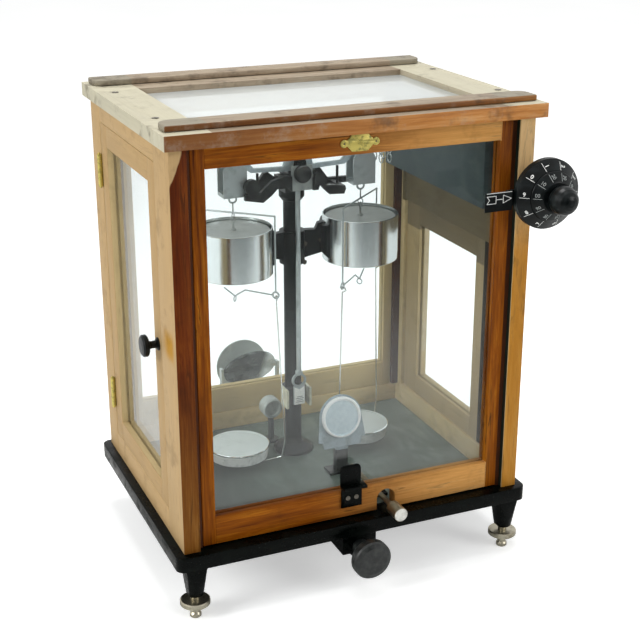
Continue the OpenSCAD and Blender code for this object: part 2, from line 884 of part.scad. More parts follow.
// Moving half of a butt hinge: a leaf on the door and the middle knuckle
module moving_half(side, z) {
    third = hinge_l / 3;
    mirror([side < 0 ? 1 : 0, 0, 0]) difference() {
        union() {
            block([case_x - leaf_w, hinge_y - 1.1 + eps, z],
                  [case_x - 3.4, hinge_y - 1.1 + leaf_t, z + hinge_l]);
            block([case_x - leaf_w, hinge_y - 1.1 + eps, z + third + 0.2],
                  [case_x + 0.6, hinge_y - 1.1 + leaf_t, z + 2 * third - 0.2]);
            rod_z([hinge_x, hinge_y, z + third + 0.2], third - 0.4, knuckle_d);
        }
        rod_z([hinge_x, hinge_y, z - 1], hinge_l + 2, hinge_pin_d + 2 * run);
    }
}

module hinge_leaves() {
    color("#9d8136") placed() {
        for (z = hinge_zs(left_door_top)) fixed_half(-1, z);
        for (z = hinge_zs(right_door_top)) fixed_half(1, z);
    }
}

module left_door_leaves() {
    color("#9d8136") placed() for (z = hinge_zs(left_door_top)) moving_half(-1, z);
}

module right_door_leaves() {
    color("#9d8136") placed() for (z = hinge_zs(right_door_top)) moving_half(1, z);
}

// Pillar and its head

module pillar() {
    color("#16191a") placed() difference() {
        turned_up([0, pillar_y, 0], [
            [0, floor_z], [pillar_foot_d / 2 - 0.5, floor_z],
            [pillar_foot_d / 2 - 0.5, floor_z + 5], [pillar_foot_d / 2 - 4, floor_z + 8],
            [pillar_d / 2 + 2, floor_z + 11], [pillar_d / 2, floor_z + 18],
            [pillar_d / 2, neck_z - 13], [pillar_d / 2 + 1.5, neck_z - 12],
            [collar_d / 2, neck_z - 8], [collar_d / 2, neck_z],
            [neck_d / 2, neck_z], [neck_d / 2, neck_top_z], [0, neck_top_z]]);
        rod_z([0, pillar_y, floor_z - eps], case_h, rod_d + 2 * run);
        block([-neck_d, pillar_y - 2.4, neck_z + 1], [neck_d, pillar_y + 2.4, neck_top_z - 1]);
    }
}

// Fork on the neck: a base under the beam and a tine with a bearing on each side of it
module pillar_head() {
    z0 = neck_top_z;
    z1 = z0 + fork_base_h;
    y1 = pillar_y + neck_d / 2 + 2;
    color("#16191a") placed() difference() {
        union() {
            block([-fork_w / 2, fork_y, z0], [fork_w / 2, y1, z1]);
            for (y = [fork_y, beam_y + fork_gap / 2]) {
                plate_xz([[-8, z1 - eps], [8, z1 - eps], [5, knife_z - 2], [-5, knife_z - 2]],
                         y, y + tine_t);
                block([-bearing_w / 2, y + 0.5, knife_z - 2 - eps],
                      [bearing_w / 2, y + tine_t - 0.5, knife_z - touch]);
            }
        }
        block([-pointer_d / 2 - 3, beam_y - fork_gap / 2, z0 - 1],
              [pointer_d / 2 + 3, beam_y + fork_gap / 2, z1 + 1]);
        rod_z([0, pillar_y, z0 - 1], fork_base_h + 2, rod_d + 2 * run);
    }
}

// Light square plate with a round black boss, in front of the fork
module bearing_cover() {
    half = 13.5;
    z = knife_z - 9 - half;
    color("#aab0ae") placed()
        block([-fork_w / 2, fork_y - cover_plate_t, z - half], [fork_w / 2, fork_y, z + half]);
    color("#141617") placed() turned_front([0, fork_y - cover_plate_t, z + 5], [
        [0, 0], [9.5, 0], [9.5, 4.5], [8.5, 6], [5, 7], [0, 7.4]]);
}

// Dampers

module damper_cups() {
    r = cup_d / 2;
    color("#b8bcba") placed() for (side = [-1, 1])
        turned_up([side * arm_l, beam_y, 0], [
            [0, cup_floor_z], [r - 1, cup_floor_z], [r - 0.3, cup_floor_z + 0.7],
            [r - 0.3, cup_seam_z], [r, cup_seam_z], [r, cup_z - 0.5], [r - 0.4, cup_z],
            [r - cup_wall, cup_z], [r - cup_wall, cup_floor_z + cup_wall],
            [0, cup_floor_z + cup_wall]]);
}

// Cast bracket between the pillar and one cup, drawn for the right side
module damper_bracket() {
    gap = damper_reach - cup_d / 2;
    z0 = cup_floor_z + 4;
    z1 = cup_z - 6;
    difference() {
        union() {
            rod_z([0, pillar_y, z0 - 6], z1 - z0 - 4, pillar_d + 9);
            translate([0, pillar_y, 0]) rotate([0, 0, -damper_turn])
                plate_xz([[0, z0 - 4], [gap - 1, z0 + 5], [gap + 6, z0 + 2], [gap + 6, z1],
                          [gap - 6, z1 - 3], [gap - 9, z1 - 10], [0, z1 - 10]], -4, 4);
            intersection() {
                rod_z([arm_l, beam_y, z0 + 2], z1 - z0 - 2, cup_d + 2 * flange_t);
                translate([0, pillar_y, 0]) rotate([0, 0, -damper_turn])
                    plate_xz([[gap - 5, z0 + 8], [gap + 4, z0 + 2], [gap + 14, z0 + 6],
                              [gap + 14, z1 - 4], [gap + 4, z1 - 0.1], [gap - 5, z1 - 6]],
                             -20, 20);
            }
        }
        rod_z([arm_l, beam_y, z0 - 9], cup_h + 20, cup_d + 2 * joint_gap);
        rod_z([0, pillar_y, z0 - 9], cup_h + 20, pillar_d + 2 * joint_gap);
        block([-60, pillar_y - 60, z0 - 9], [joint_gap, pillar_y + 60, z1 + 20]);
    }
}

module damper_brackets() {
    color("#16191a") placed() {
        damper_bracket();
        mirror([1, 0, 0]) damper_bracket();
    }
}

// Bell that hangs in a cup without touching it
module damper_bell(side) {
    r = cup_d / 2 - cup_wall - air_gap;
    top = cup_z - 3;
    low = cup_floor_z + 9;
    eye_r = 2.4;
    eye_z = link_z - link_r + link_wire + 0.2 - eye_r;
    color("#a9adab") placed() {
        turned_up([side * arm_l, beam_y, 0], [
            [0, top - 1], [r - 0.9, top - 1], [r - 0.9, low], [r, low], [r, top - 0.6],
            [r - 0.6, top], [3, top], [3, top + 1], [1.4, top + 2], [0.9, eye_z - 2],
            [0, eye_z - 2]]);
        eyelet([side * arm_l, beam_y, eye_z], eye_r, link_wire, bow_turn_of(side));
    }
}

module left_damper_bell() {
    damper_bell(-1);
}

module right_damper_bell() {
    damper_bell(1);
}

// Beam, pointer and hangers

// Outline of one half of the beam, and the window in it
module beam_half(side) {
    polygon([[0, 12], [side * 12, 12], [side * (arm_l - 13), 2], [side * (arm_l - 10), -0.7],
             [side * (arm_l + 7), -0.7], [side * (arm_l + 7), -5.5],
             [side * (arm_l - 9), -5.5], [side * (arm_l - 20), 14 - beam_h],
             [side * 14, 12 - beam_h], [0, 12 - beam_h]]);
}

module beam_window(side) {
    polygon([[side * 12, 7], [side * (arm_l - 30), 1.5], [side * (arm_l - 18), -3.5],
             [side * (arm_l - 24), 18 - beam_h], [side * 17, 17 - beam_h]]);
}

module beam() {
    nut_z = knife_z - 3;
    color("#9aa4a4") placed() {
        translate([0, beam_y + beam_t / 2, knife_z]) rotate([90, 0, 0])
            linear_extrude(beam_t) difference() {
                union() {
                    beam_half(-1);
                    beam_half(1);
                }
                beam_window(-1);
                beam_window(1);
            }
        for (side = [-1, 1]) {
            rod_y([side * arm_l, beam_y - stirrup_y + stirrup_t + clear, knife_z - knife_d / 2],
                  2 * (stirrup_y - stirrup_t - clear), knife_d);
            mirror([side < 0 ? 1 : 0, 0, 0]) {
                rod_x([arm_l + 7 - eps, beam_y, nut_z], 9, 2);
                rod_x([arm_l + 9, beam_y, nut_z], 4, 7);
            }
        }
        rod_y([0, fork_y + 1, knife_z + knife_d / 2], fork_gap + 2 * tine_t - 2, knife_d);
        rod_z([0, beam_y, knife_z + 12 - eps], 12, 3);
        rod_z([0, beam_y, knife_z + 16], 5, 9);
    }
}

// Bright rod below the beam, with a small framed scale at its end
module pointer() {
    z0 = graticule_z - graticule_h / 2;
    z1 = graticule_z + graticule_h / 2;
    top = knife_z + 12 - beam_h;
    arch_z = z1 + arch_r - 1.4;
    boss_w = pointer_d + 1;
    boss_z = arch_z + arch_r + 3;
    t = 1.2;
    color("#c3c6c4") placed() {
        rod_z([0, beam_y, boss_z - eps], top - boss_z - joint_gap, pointer_d);
        block([-boss_w / 2, beam_y - boss_w / 2, arch_z + arch_r - 1],
              [boss_w / 2, beam_y + boss_w / 2, boss_z]);
        difference() {
            union() {
                translate([0, beam_y + t, arch_z]) rotate([90, 0, 0])
                    linear_extrude(2 * t) circle(arch_r, $fn = fine);
                block([-graticule_w / 2, beam_y - t, z0], [graticule_w / 2, beam_y + t, z1]);
            }
            rod_y([0, beam_y - 2 * t, arch_z], 4 * t, 2 * (arch_r - arch_wire));
            block([-graticule_w / 2 + 1.6, beam_y - 2 * t, z0 + 2],
                  [graticule_w / 2 - 1.6, beam_y + 2 * t, z1 - 4]);
        }
        block([-graticule_w / 2 + 1.4, beam_y - t / 3, z0 + 1.6],
              [graticule_w / 2 - 1.4, beam_y + t / 3, z1 - 3.6]);
    }
}

// Stirrup on an end knife: two side plates, a bridge that rests on the knife and a low bar
module stirrup() {
    for (y = [-stirrup_y, stirrup_y - stirrup_t])
        plate_xz([[-stirrup_w / 2, stirrup_z0], [stirrup_w / 2, stirrup_z0],
                  [stirrup_w / 2, knife_z - 8], [6, stirrup_z1], [-6, stirrup_z1],
                  [-stirrup_w / 2, knife_z - 8]], y, y + stirrup_t);
    block([-5, -stirrup_y + eps, bridge_z], [5, stirrup_y - eps, stirrup_z1 - 1]);
    block([-stirrup_w / 2, -stirrup_y + eps, stirrup_z0 + 0.1],
          [stirrup_w / 2, stirrup_y - eps, stirrup_z0 + 4]);
}

// Point at a radius and a height from the knife's upright line, in a bow's own plane
function bow_turn_of(side) = side < 0 ? -bow_turn : 180 + bow_turn;
function bow_point(turn, r, z) = [r * cos(turn), r * sin(turn), z];

// Hanger on one side: stirrup, hooks, top bar, two long wires and the lower cross wire
module hanger(side) {
    turn = bow_turn_of(side);
    hook_r = 4;
    ring_top = bow_low_z + ring_r;
    color("#8f9694") placed() translate([side * arm_l, beam_y, 0]) {
        stirrup();
        eyelet([0, 0, stirrup_z0 + 0.4 - hook_r], hook_r, ring_wire);
        wire([0, 0, bow_top_z], [0, 0, stirrup_z0 + 0.4 - 2 * hook_r]);
        eyelet([0, 0, link_z], link_r, link_wire, turn + 90);
        bent_wire([bow_point(turn, -bow_r, ring_top), bow_point(turn, -bow_r, bow_top_z),
                   bow_point(turn, bow_r, bow_top_z), bow_point(turn, bow_r, ring_top)],
                  wire_d + 0.2);
        for (s = [-1, 1])
            eyelet(bow_point(turn, s * bow_r, bow_low_z), ring_r, ring_wire, turn);
        bent_wire([bow_point(turn, ring_r - bow_r, bow_low_z),
                   bow_point(turn, -12, bow_low_z + 2), bow_point(turn, 0, bow_low_z - 6),
                   bow_point(turn, 12, bow_low_z + 2), bow_point(turn, bow_r - ring_r, bow_low_z)]);
        eyelet([0, 0, bow_low_z - 6 - link_r], link_r, link_wire, turn + 90);
    }
}

module left_hanger() {
    hanger(-1);
}

module right_hanger() {
    hanger(1);
}

// Pan: a flat dish with a tapered side, on a wire that hangs in the hanger's rings
module pan(side) {
    turn = bow_turn_of(side);
    r = pan_d / 2;
    low = pan_z - pan_h;
    hang_z = bow_low_z - ring_r + (ring_wire + wire_d) / 2 + pan_play;
    color("#b9bdbb") placed() translate([side * arm_l, beam_y, 0]) {
        rotate_extrude() polygon([
            [0, pan_z - 3.2], [r - 3, pan_z - 2.6], [r - 0.8, pan_z], [r, pan_z - 0.6],
            [r - 0.4, pan_z - 2], [r - 2.6, pan_z - 4], [r - 5.5, low + 1], [r - 6.5, low],
            [0, low]]);
        for (s = [-1, 1]) bent_wire([
            pan_hook(turn, s, -3, hang_z - 0.8), pan_hook(turn, s, 0, hang_z),
            pan_hook(turn, s, 2.6, hang_z - 0.6), pan_hook(turn, s, 3.8, hang_z - 3.4),
            bow_point(turn, s * (bow_r + 0.6), bow_low_z - ring_r - 4),
            bow_point(turn, s * pan_wire_r, pan_z + 12),
            bow_point(turn, s * (pan_wire_r - 4), pan_z - 8),
            bow_point(turn, s * (r - 3), low + wire_d / 2 - 0.4),
            bow_point(turn, s * 12, low + wire_d / 2 - 0.2)]);
    }
}

// Point of the hook that crosses a hanger's ring, at a distance square to the bow
function pan_hook(turn, s, off, z) =
    bow_point(turn, s * bow_r, z) + off * [-sin(turn), cos(turn), 0];

module left_pan() {
    pan(-1);
}

module right_pan() {
    pan(1);
}

// Arrest mechanism

// One arm, drawn in front view for the right side, with its inner end at the sleeve
module arrest_arm(side, y, points) {
    mirror([side < 0 ? 1 : 0, 0, 0])
        plate_xz([for (p = points) [p[0], neck_z + p[1]]], y, y + arm_t);
}

module arrest_arms() {
    z0 = sleeve_z0;
    z1 = sleeve_z1;
    low = neck_z - 1;
    pin_z = (z0 + z1) / 2;
    beam_low_z = knife_z + 14 - beam_h;
    pin_x = arm_l - 28;
    color("#16191a") placed() {
        difference() {
            union() {
                rod_z([0, pillar_y, z0], z1 - z0, neck_d + 11);
                for (side = [-1, 1])
                    block([side * 11 - 8, pillar_y - 3, z0], [side * 11 + 8, pillar_y + 3, z1]);
            }
            rod_z([0, pillar_y, z0 - 1], z1 - z0 + 2, neck_d + 2 * run);
            rod_x([-neck_d, pillar_y, pin_z], 2 * neck_d, pin_d + 2 * joint_gap);
        }
        for (side = [-1, 1])
            block([side * 16.2 - 3, front_arm_y + arm_t + joint_gap, z0],
                  [side * 16.2 + 3, pillar_y - 3 - joint_gap, z1]);
        arrest_arm(1, front_arm_y, [[13, 5], [13, 22], [17, 23.5], [22, 20], [27, 9], [48, 6.5],
                                    [49, 3], [47, -2.5], [30, -1.5], [24, 4], [19, 10],
                                    [17, 5]]);
        arrest_arm(-1, front_arm_y, [[13, 5], [13, 22], [20, 23.5], [36, 19], [48, 8.5],
                                     [66, 7], [66, 1], [46, -3], [36, 4], [30, 10], [18, 10]]);
        rod_y([-58, front_arm_y - 2, neck_z + 14.5], arm_t + 2, 17);
        for (side = [-1, 1])
            arrest_arm(side, rear_arm_y, [[19 + joint_gap, 5], [19 + joint_gap, 14], [28, 21],
                [33, 20], [42, 8], [arm_l + (side > 0 ? 20 : -14), 7],
                [arm_l + (side > 0 ? 20 : -14), 1], [36, 1], [28, 8]]);
        for (side = [-1, 1]) {
            block([side * pin_x - 3, front_arm_y + arm_t + joint_gap, low + 3],
                  [side * pin_x + 3, rear_arm_y - joint_gap, low + 7]);
            rod_z([side * pin_x, beam_y, low + 6], beam_low_z - 1.5 - low - 6, 3);
        }
    }
    color("#8f9694") placed() {
        rod_x([-neck_d / 2 - 5, pillar_y, pin_z], neck_d + 10, pin_d);
        rod_z([0, pillar_y, arrest_z + cam_r + clear], pin_z - arrest_z - cam_r - clear, rod_d);
    }
}

// Two stops that steady the pans, on rods through the base plate, joined by a bar below
module pan_stops() {
    color("#8f9694") placed() {
        difference() {
            union() {
                for (side = [-1, 1]) {
                    rod_z([side * arm_l, beam_y, bar_z], stop_top_z - bar_z - 1, stop_rod_d);
                    rod_z([side * arm_l, beam_y, stop_top_z - stop_head_t], stop_head_t, stop_d);
                }
                block([-arm_l - 6, beam_y - 6, bar_z], [arm_l + 6, beam_y + 6, bar_z + bar_t]);
                block([-8, beam_y, bar_z], [8, pillar_y + 8, bar_z + bar_t]);
            }
            rod_z([0, pillar_y, bar_z - 1], bar_t + 2, rod_d + 2 * joint_gap);
        }
    }
}

// Bearing blocks below the base plate that carry the arrest shaft
module arrest_bearings() {
    y0 = -case_y - 4;
    color("#141817") placed() difference() {
        union() {
            block([-19, y0, arrest_z - 7], [19, y0 + 44, base_z]);
            rod_y([0, y0, arrest_z], 44, 26);
            block([-9, pillar_y + 14, arrest_z - 9], [9, pillar_y + 24, base_z]);
        }
        rod_y([0, y0 - 1, arrest_z], case_d, arrest_shaft_d + 2 * run);
    }
}

// Radius of the arrest cam at an angle from its top: it falls evenly over the knob's turn
function cam_radius(a) =
    a < cam_turn + 20 ? cam_r - lift_travel * a / cam_turn
    : a < 180 ? cam_r - lift_travel * (cam_turn + 20) / cam_turn * (180 - a) / (160 - cam_turn)
    : cam_r;

// Knob, shaft and the cam that lets the lifting rod down
module arrest_knob() {
    y0 = -case_y - 5;
    r = arrest_knob_d / 2;
    color("#131515") placed() turned_front([0, y0, arrest_z], [
        [0, 0], [9, 0], [9, 6], [8, 14], [r - 4, 21], [r - 1, 22], [r, 24], [r, 31],
        [r - 1.5, 33], [r - 6, 34.5], [0, 35.5]]);
    color("#8f9694") placed() {
        rod_y([0, y0 - eps, arrest_z], pillar_y + 26 - y0, arrest_shaft_d);
        translate([0, pillar_y + 4, arrest_z]) rotate([90, 0, 0]) linear_extrude(8)
            polygon([for (a = [0 : 10 : 350]) cam_radius(a) * [-sin(a), cos(a)]]);
    }
}

// Weight dial

module dial_bearing() {
    y = -case_y;
    tube_l = dial_front - dial_t - 1.5;
    color("#141817") placed() difference() {
        union() {
            block([dial_x - post_w / 2 + 1, y - 4, dial_z - 28],
                  [dial_x + post_w / 2 - 1, y, dial_z + 11]);
            rod_y([dial_x, y - tube_l, dial_z], tube_l, 20);
        }
        rod_y([dial_x, y - dial_front, dial_z], dial_front + 1, sleeve_d + 2 * run);
        for (x = [-6.5, 6.5])
            rod_y([dial_x + x, y - 5, dial_z - 21], 6, 2.4);
    }
}

// Plate with an arrow that points at the dial, on an arm from the bearing
module index_plate() {
    x1 = dial_x - dial_d / 2 - 2.4;
    y = dial_y + dial_cone + 4.5;
    z = dial_z - 3.4;
    arm_y = dial_y + dial_t + 5;
    arm_t = 1.6;
    color("#131515") placed() {
        block([x1 - index_w, y, z - index_h / 2], [x1, y + index_t, z + index_h / 2]);
        block([x1 - arm_t, y + eps, z - 8], [x1, arm_y + arm_t, z + 8]);
        difference() {
            block([x1 - arm_t, arm_y, z - 8], [dial_x, arm_y + arm_t, z + 8]);
            rod_y([dial_x, arm_y - 1, dial_z], 4, 20 + 2 * joint_gap);
        }
    }
}

// Small toothed wheel about an axis along Y, with its bore
module small_gear(y0, y1, bore) {
    translate([dial_x, y1, dial_z]) rotate([90, 0, 0]) linear_extrude(y1 - y0)
        difference() {
            polygon([for (i = [0 : 2 * gear_teeth - 1])
                let (a = i * 180 / gear_teeth) (i % 2 == 0 ? gear_r : gear_r - 0.9)
                * [cos(a), sin(a)]]);
            circle(d = bore);
        }
}

module hundreds_dial() {
    r = dial_d / 2;
    ri = inner_dial_d / 2;
    y1 = -case_y + front_post_d + 8;
    color("#17191a") placed() difference() {
        union() {
            turned_front([dial_x, dial_y + dial_t, dial_z], [
                [0, 0], [r - 1.5, 0], [r, 1.2], [r, dial_t - dial_cone - 1],
                [r - 1, dial_t - dial_cone], [ri + 0.4, dial_t], [0, dial_t]]);
            rod_y([dial_x, dial_y + dial_t - eps, dial_z], y1 - dial_y - dial_t, sleeve_d);
            small_gear(y1 - 5, y1, dial_shaft_d + 2 * run);
        }
        rod_y([dial_x, dial_y - 1, dial_z], y1 - dial_y + 2, dial_shaft_d + 2 * run);
    }
}

module tens_dial() {
    ri = inner_dial_d / 2;
    rk = dial_knob_d / 2;
    y = dial_y - clear;
    y1 = -case_y + front_post_d + 22;
    color("#17191a") placed() {
        turned_front([dial_x, y, dial_z], [
            [0, 0], [ri - 0.6, 0], [ri, 0.6], [ri - 0.4, 1.2], [rk + 1.6, inner_dial_t - 0.5],
            [rk + 0.6, inner_dial_t], [rk * sin(40) - 0.4, inner_dial_t],
            for (a = [45 : 15 : 180]) [rk * sin(a), dial_knob_mid - rk * cos(a)]]);
        rod_y([dial_x, y - eps, dial_z], y1 - y, dial_shaft_d);
        small_gear(y1 - 5, y1, dial_shaft_d - 0.5);
    }
}

// Dark sheet cover over the weight loader, open towards the side board
module mechanism_cover() {
    top = lid_z - 4;
    x0 = inner_x - cover_w;
    color("#27333a") placed() difference() {
        block([x0, -cover_y, cover_z0], [inner_x - joint_gap, cover_y, top]);
        block([x0 + cover_wall, -cover_y + cover_wall, cover_z0 + cover_wall],
              [inner_x + 1, cover_y - cover_wall, top - cover_wall]);
        for (y = loader_ys)
            block([x0 - 1, y - 2, loader_z - 4], [x0 + 3, y + 2, loader_z + 4]);
    }
}

// Levers that lower the ring weights, with hooks and the rings on them
module ring_weight_loader() {
    drop = 15;
    color("#a9b0ae") placed() for (y = loader_ys) {
        block([loader_x, y - 1, loader_z - 2], [inner_x - joint_gap, y + 1, loader_z + 2]);
        for (x = [loader_x + 4, loader_x + 14])
            bent_wire([[x, y, loader_z - 1], [x, y, loader_z - drop + 3],
                       [x + 2.5, y, loader_z - drop], [x + 5, y, loader_z - drop + 3]], 1.2);
    }
    color("#d8b64a") placed() for (y = loader_ys, x = [loader_x + 6.5, loader_x + 16.5])
        eyelet([x, y, loader_z - drop - 5 + 1.2 + touch], 5, 1.2, 90);
}

// Projection of the scale

// Plate with a round window on a stand, leaning back
module screen_stand() {
    r = screen_d / 2 + 2;
    foot_z = floor_z + floor_t;
    color("#5f6866") placed() {
        translate([screen_x, -screen_y, screen_z]) rotate([-screen_lean, 0, 0])
            rotate([90, 0, 0]) linear_extrude(screen_plate_t) difference() {
                union() {
                    circle(r);
                    polygon([[-r, 0], [r, 0], [r + 3, -r - 1], [r - 2, -r - 2],
                             [r - 3, -r - 9], [3 - r, -r - 9], [2 - r, -r - 2],
                             [-r - 3, -r - 1]]);
                }
                circle(d = screen_d - 10);
            }
        block([screen_x - 7, -screen_y - 6, foot_z],
              [screen_x + 7, -screen_y + 2, screen_z - r - 3]);
        block([screen_x - 14, -screen_y - 7, foot_z], [screen_x + 14, -screen_y + 12, foot_z + 3]);
    }
}

// White ring and the ground glass in it
module screen() {
    r = screen_d / 2;
    y = -screen_plate_t - joint_gap;
    color("#e9edec") placed() translate([screen_x, -screen_y, screen_z])
        rotate([-screen_lean, 0, 0]) {
            turned_front([0, y, 0], [[r - 3.4, 0], [r, 0], [r, 3], [r - 1, 4], [r - 2.4, 4],
                                     [r - 3.4, 3]]);
            turned_front([0, y, 0], [[0, 0.2], [r - 3.4 - joint_gap, 0.2],
                                     [r - 3.4 - joint_gap, 1.8], [0, 1.8]]);
        }
}

// Clamp on the pillar with two plates that guard the framed scale on both sides
module optical_carrier() {
    z0 = carrier_z - 11;
    z1 = carrier_z + 11;
    y0 = beam_y - 1;
    x1 = carrier_gap / 2 + 2.4;
    color("#b5b39c") placed() {
        difference() {
            union() {
                rod_z([0, pillar_y, z0 + 2], z1 - z0 - 4, pillar_d + 8);
                for (x = [-x1, carrier_gap / 2])
                    block([x, y0, z0], [x + 2.4, pillar_y, z1]);
                block([-x1, pillar_y - 5, z0 + 3], [x1, pillar_y, z1 - 3]);
            }
            rod_z([0, pillar_y, z0 - 5], z1 - z0 + 10, pillar_d + 2 * joint_gap);
        }
    }
}

// Condenser on a stem behind the pillar, which throws light through the framed scale
module condenser() {
    y = pillar_y + condenser_back;
    foot_z = floor_z + floor_t;
    color("#8b918f") placed() {
        turned_front([condenser_x, y + 12, condenser_z], [
            [0, 0], [12, 0], [12, 13], [10.5, 15], [8.5, 15], [8.5, 11], [0, 11]]);
        rod_z([condenser_x, y + 5, foot_z], condenser_z - 9 - foot_z, 7);
        rod_z([condenser_x, y + 5, foot_z], 3, 18);
    }
}

module zero_bearing() {
    y0 = -case_y + 32;
    color("#1b1f1e") placed() difference() {
        union() {
            block([zero_x - 8, y0, floor_z + floor_t], [zero_x + 8, y0 + 10, zero_z]);
            rod_y([zero_x, y0, zero_z], 10, 15);
            block([zero_x - 14, y0 - 2, floor_z + floor_t],
                  [zero_x + 14, y0 + 12, floor_z + floor_t + 3]);
        }
        rod_y([zero_x, y0 - 3, zero_z], 16, zero_shaft_d + 2 * run);
    }
}

// Nickel knob whose shaft runs in through the arch of the sash
module zero_knob() {
    y0 = -case_y - 5;
    r = zero_knob_d / 2;
    color("#b9b9b4") placed() {
        turned_front([zero_x, y0, zero_z], [
            [0, 0], [4, 0], [4.4, 4], [r - 1, 5], [r, 6], [r, 24.6], [r - 1.2, 26], [0, 26]]);
        rod_y([zero_x, y0 - eps, zero_z], -screen_y - 10 - y0, zero_shaft_d);
    }
}

// Bracket behind the case: a foot on the back rail, a fork, and a round shade behind it
module mirror_bracket() {
    y = case_y - 2;
    z0 = floor_z + 3;
    r = mirror_d / 2;
    color("#aeb4b1") placed() translate([mirror_x, 0, 0]) {
        block([-16, y + joint_gap, z0], [16, y + 3, z0 + 16]);
        block([-5, y + 1, z0], [5, shade_y + shade_t, z0 + 4]);
        block([-5, shade_y - 1, z0], [5, shade_y + shade_t, mirror_z - shade_drop]);
        rod_y([0, shade_y, mirror_z - shade_drop], shade_t, mirror_d);
        block([-r - 5, mirror_y - 4, z0], [r + 5, mirror_y + 4, z0 + 4]);
        for (side = [-1, 1]) mirror([side < 0 ? 1 : 0, 0, 0]) {
            block([r + 2, mirror_y - 4, z0], [r + 5, mirror_y + 4, mirror_z + 4]);
            rod_x([r - 1.6, mirror_y, mirror_z], 5, pivot_d);
        }
    }
}

// Round mirror that tilts between the points of the fork
module rear_mirror() {
    color("#4c5654") placed() translate([mirror_x, mirror_y, mirror_z]) difference() {
        union() {
            rotate([mirror_lean, 0, 0]) translate([0, 0, -mirror_t / 2])
                cylinder(h = mirror_t, d = mirror_d);
            for (side = [-1, 1]) mirror([side < 0 ? 1 : 0, 0, 0])
                rod_x([mirror_d / 2 - 5, 0, 0], 6, pivot_d + 3);
        }
        for (side = [-1, 1]) mirror([side < 0 ? 1 : 0, 0, 0])
            rod_x([mirror_d / 2 - 2, 0, 0], 4, pivot_d + 2 * run);
    }
}

base_plate();
base_legs();
floor_slate();
corner_posts();
case_rails();
sash_guides();
lid_frame();
lid_glass();
fixing_screws();
hinge_leaves();
pillar();
pillar_head();
bearing_cover();
damper_brackets();
damper_cups();
screen_stand();
screen();
optical_carrier();
condenser();
arrest_bearings();
dial_bearing();
index_plate();
mechanism_cover();
ring_weight_loader();
mirror_bracket();
zero_bearing();
front_sash_frame();
front_sash_glass();
front_sash_cap();
finger_lift();
name_plate();
sash_screws();
rear_sash_frame();
rear_sash_glass();
rear_sash_cap();
left_door_frame();
left_door_glass();
left_door_knob();
left_door_leaves();
right_door_frame();
right_door_glass();
right_door_knob();
right_door_leaves();
left_foot_screw();
right_foot_screw();
arrest_knob();
arrest_arms();
pan_stops();
beam();
pointer();
left_hanger();
left_damper_bell();
left_pan();
right_hanger();
right_damper_bell();
right_pan();
hundreds_dial();
tens_dial();
zero_knob();
rear_mirror();
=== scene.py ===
# %% [markdown]
# # A laboratory balance in a glazed wooden case
# The solids come from the CAD frame, in metres, and stay where they are. This lesson gives
# every one of them its finish. It also makes what a joiner, an engraver and forty years of
# use have added: eased edges, wood grain, dial lines and numbers, dust on the glass.

# %% Load the frame
import json
import math
import random

import bpy
from mathutils import Matrix, Vector

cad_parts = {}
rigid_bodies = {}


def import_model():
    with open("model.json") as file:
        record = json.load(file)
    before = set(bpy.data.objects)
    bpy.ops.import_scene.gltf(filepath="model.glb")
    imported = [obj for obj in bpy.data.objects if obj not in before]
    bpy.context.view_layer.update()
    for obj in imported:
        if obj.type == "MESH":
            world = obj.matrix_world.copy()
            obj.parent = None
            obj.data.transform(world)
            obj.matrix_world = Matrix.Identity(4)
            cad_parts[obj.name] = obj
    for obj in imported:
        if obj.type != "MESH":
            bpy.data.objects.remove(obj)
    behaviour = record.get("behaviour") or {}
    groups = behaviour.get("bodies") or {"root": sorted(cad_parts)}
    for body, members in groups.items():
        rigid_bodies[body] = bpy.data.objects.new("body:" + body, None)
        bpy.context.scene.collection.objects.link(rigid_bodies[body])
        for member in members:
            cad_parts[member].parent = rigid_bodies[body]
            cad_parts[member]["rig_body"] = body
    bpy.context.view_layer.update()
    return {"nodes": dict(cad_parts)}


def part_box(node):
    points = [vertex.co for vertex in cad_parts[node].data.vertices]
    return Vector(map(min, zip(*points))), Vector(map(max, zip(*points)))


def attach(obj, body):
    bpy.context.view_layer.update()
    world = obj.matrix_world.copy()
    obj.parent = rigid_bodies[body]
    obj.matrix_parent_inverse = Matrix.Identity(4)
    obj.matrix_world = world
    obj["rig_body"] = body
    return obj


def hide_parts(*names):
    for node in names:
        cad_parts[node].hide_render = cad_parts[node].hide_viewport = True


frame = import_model()
nodes = frame["nodes"]

# %% [markdown]
# ## A place to measure from
# A balance is laid out from the middle of its case. The corner posts are symmetric, so the
# middle of their box is that point. `at` turns millimetres from there into the frame's
# metres, and `x_at` and `y_at` give one coordinate of such a place. Every later cell uses
# them.

# %% Measure from the middle of the case
MM = 0.001
posts_low, posts_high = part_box("corner_posts")
MIDDLE = (posts_low + posts_high) / 2


def at(x, y, z):
    """Point of the frame, from millimetres right of and behind the case's middle."""
    return Vector((MIDDLE.x + x * MM, MIDDLE.y + y * MM, z * MM))


def x_at(millimetres):
    """X in metres of a place right of the case's middle."""
    return at(millimetres, 0, 0).x


def y_at(millimetres):
    """Y in metres of a place behind the case's middle."""
    return at(0, millimetres, 0).y


CASE_LEFT, CASE_FRONT = x_at(-190), y_at(-141)
FORWARD = (0, -1, 0)
print("middle of the case:", [round(v, 4) for v in MIDDLE])

# %% [markdown]
# ## Shader arithmetic
# A finish is a small program: noise, thresholds and mixes. Written as nodes it is long, so
# one class wraps a socket and lets Python's own operators add the Math nodes. Another one
# holds the material, and its `node` method adds every other kind of node.


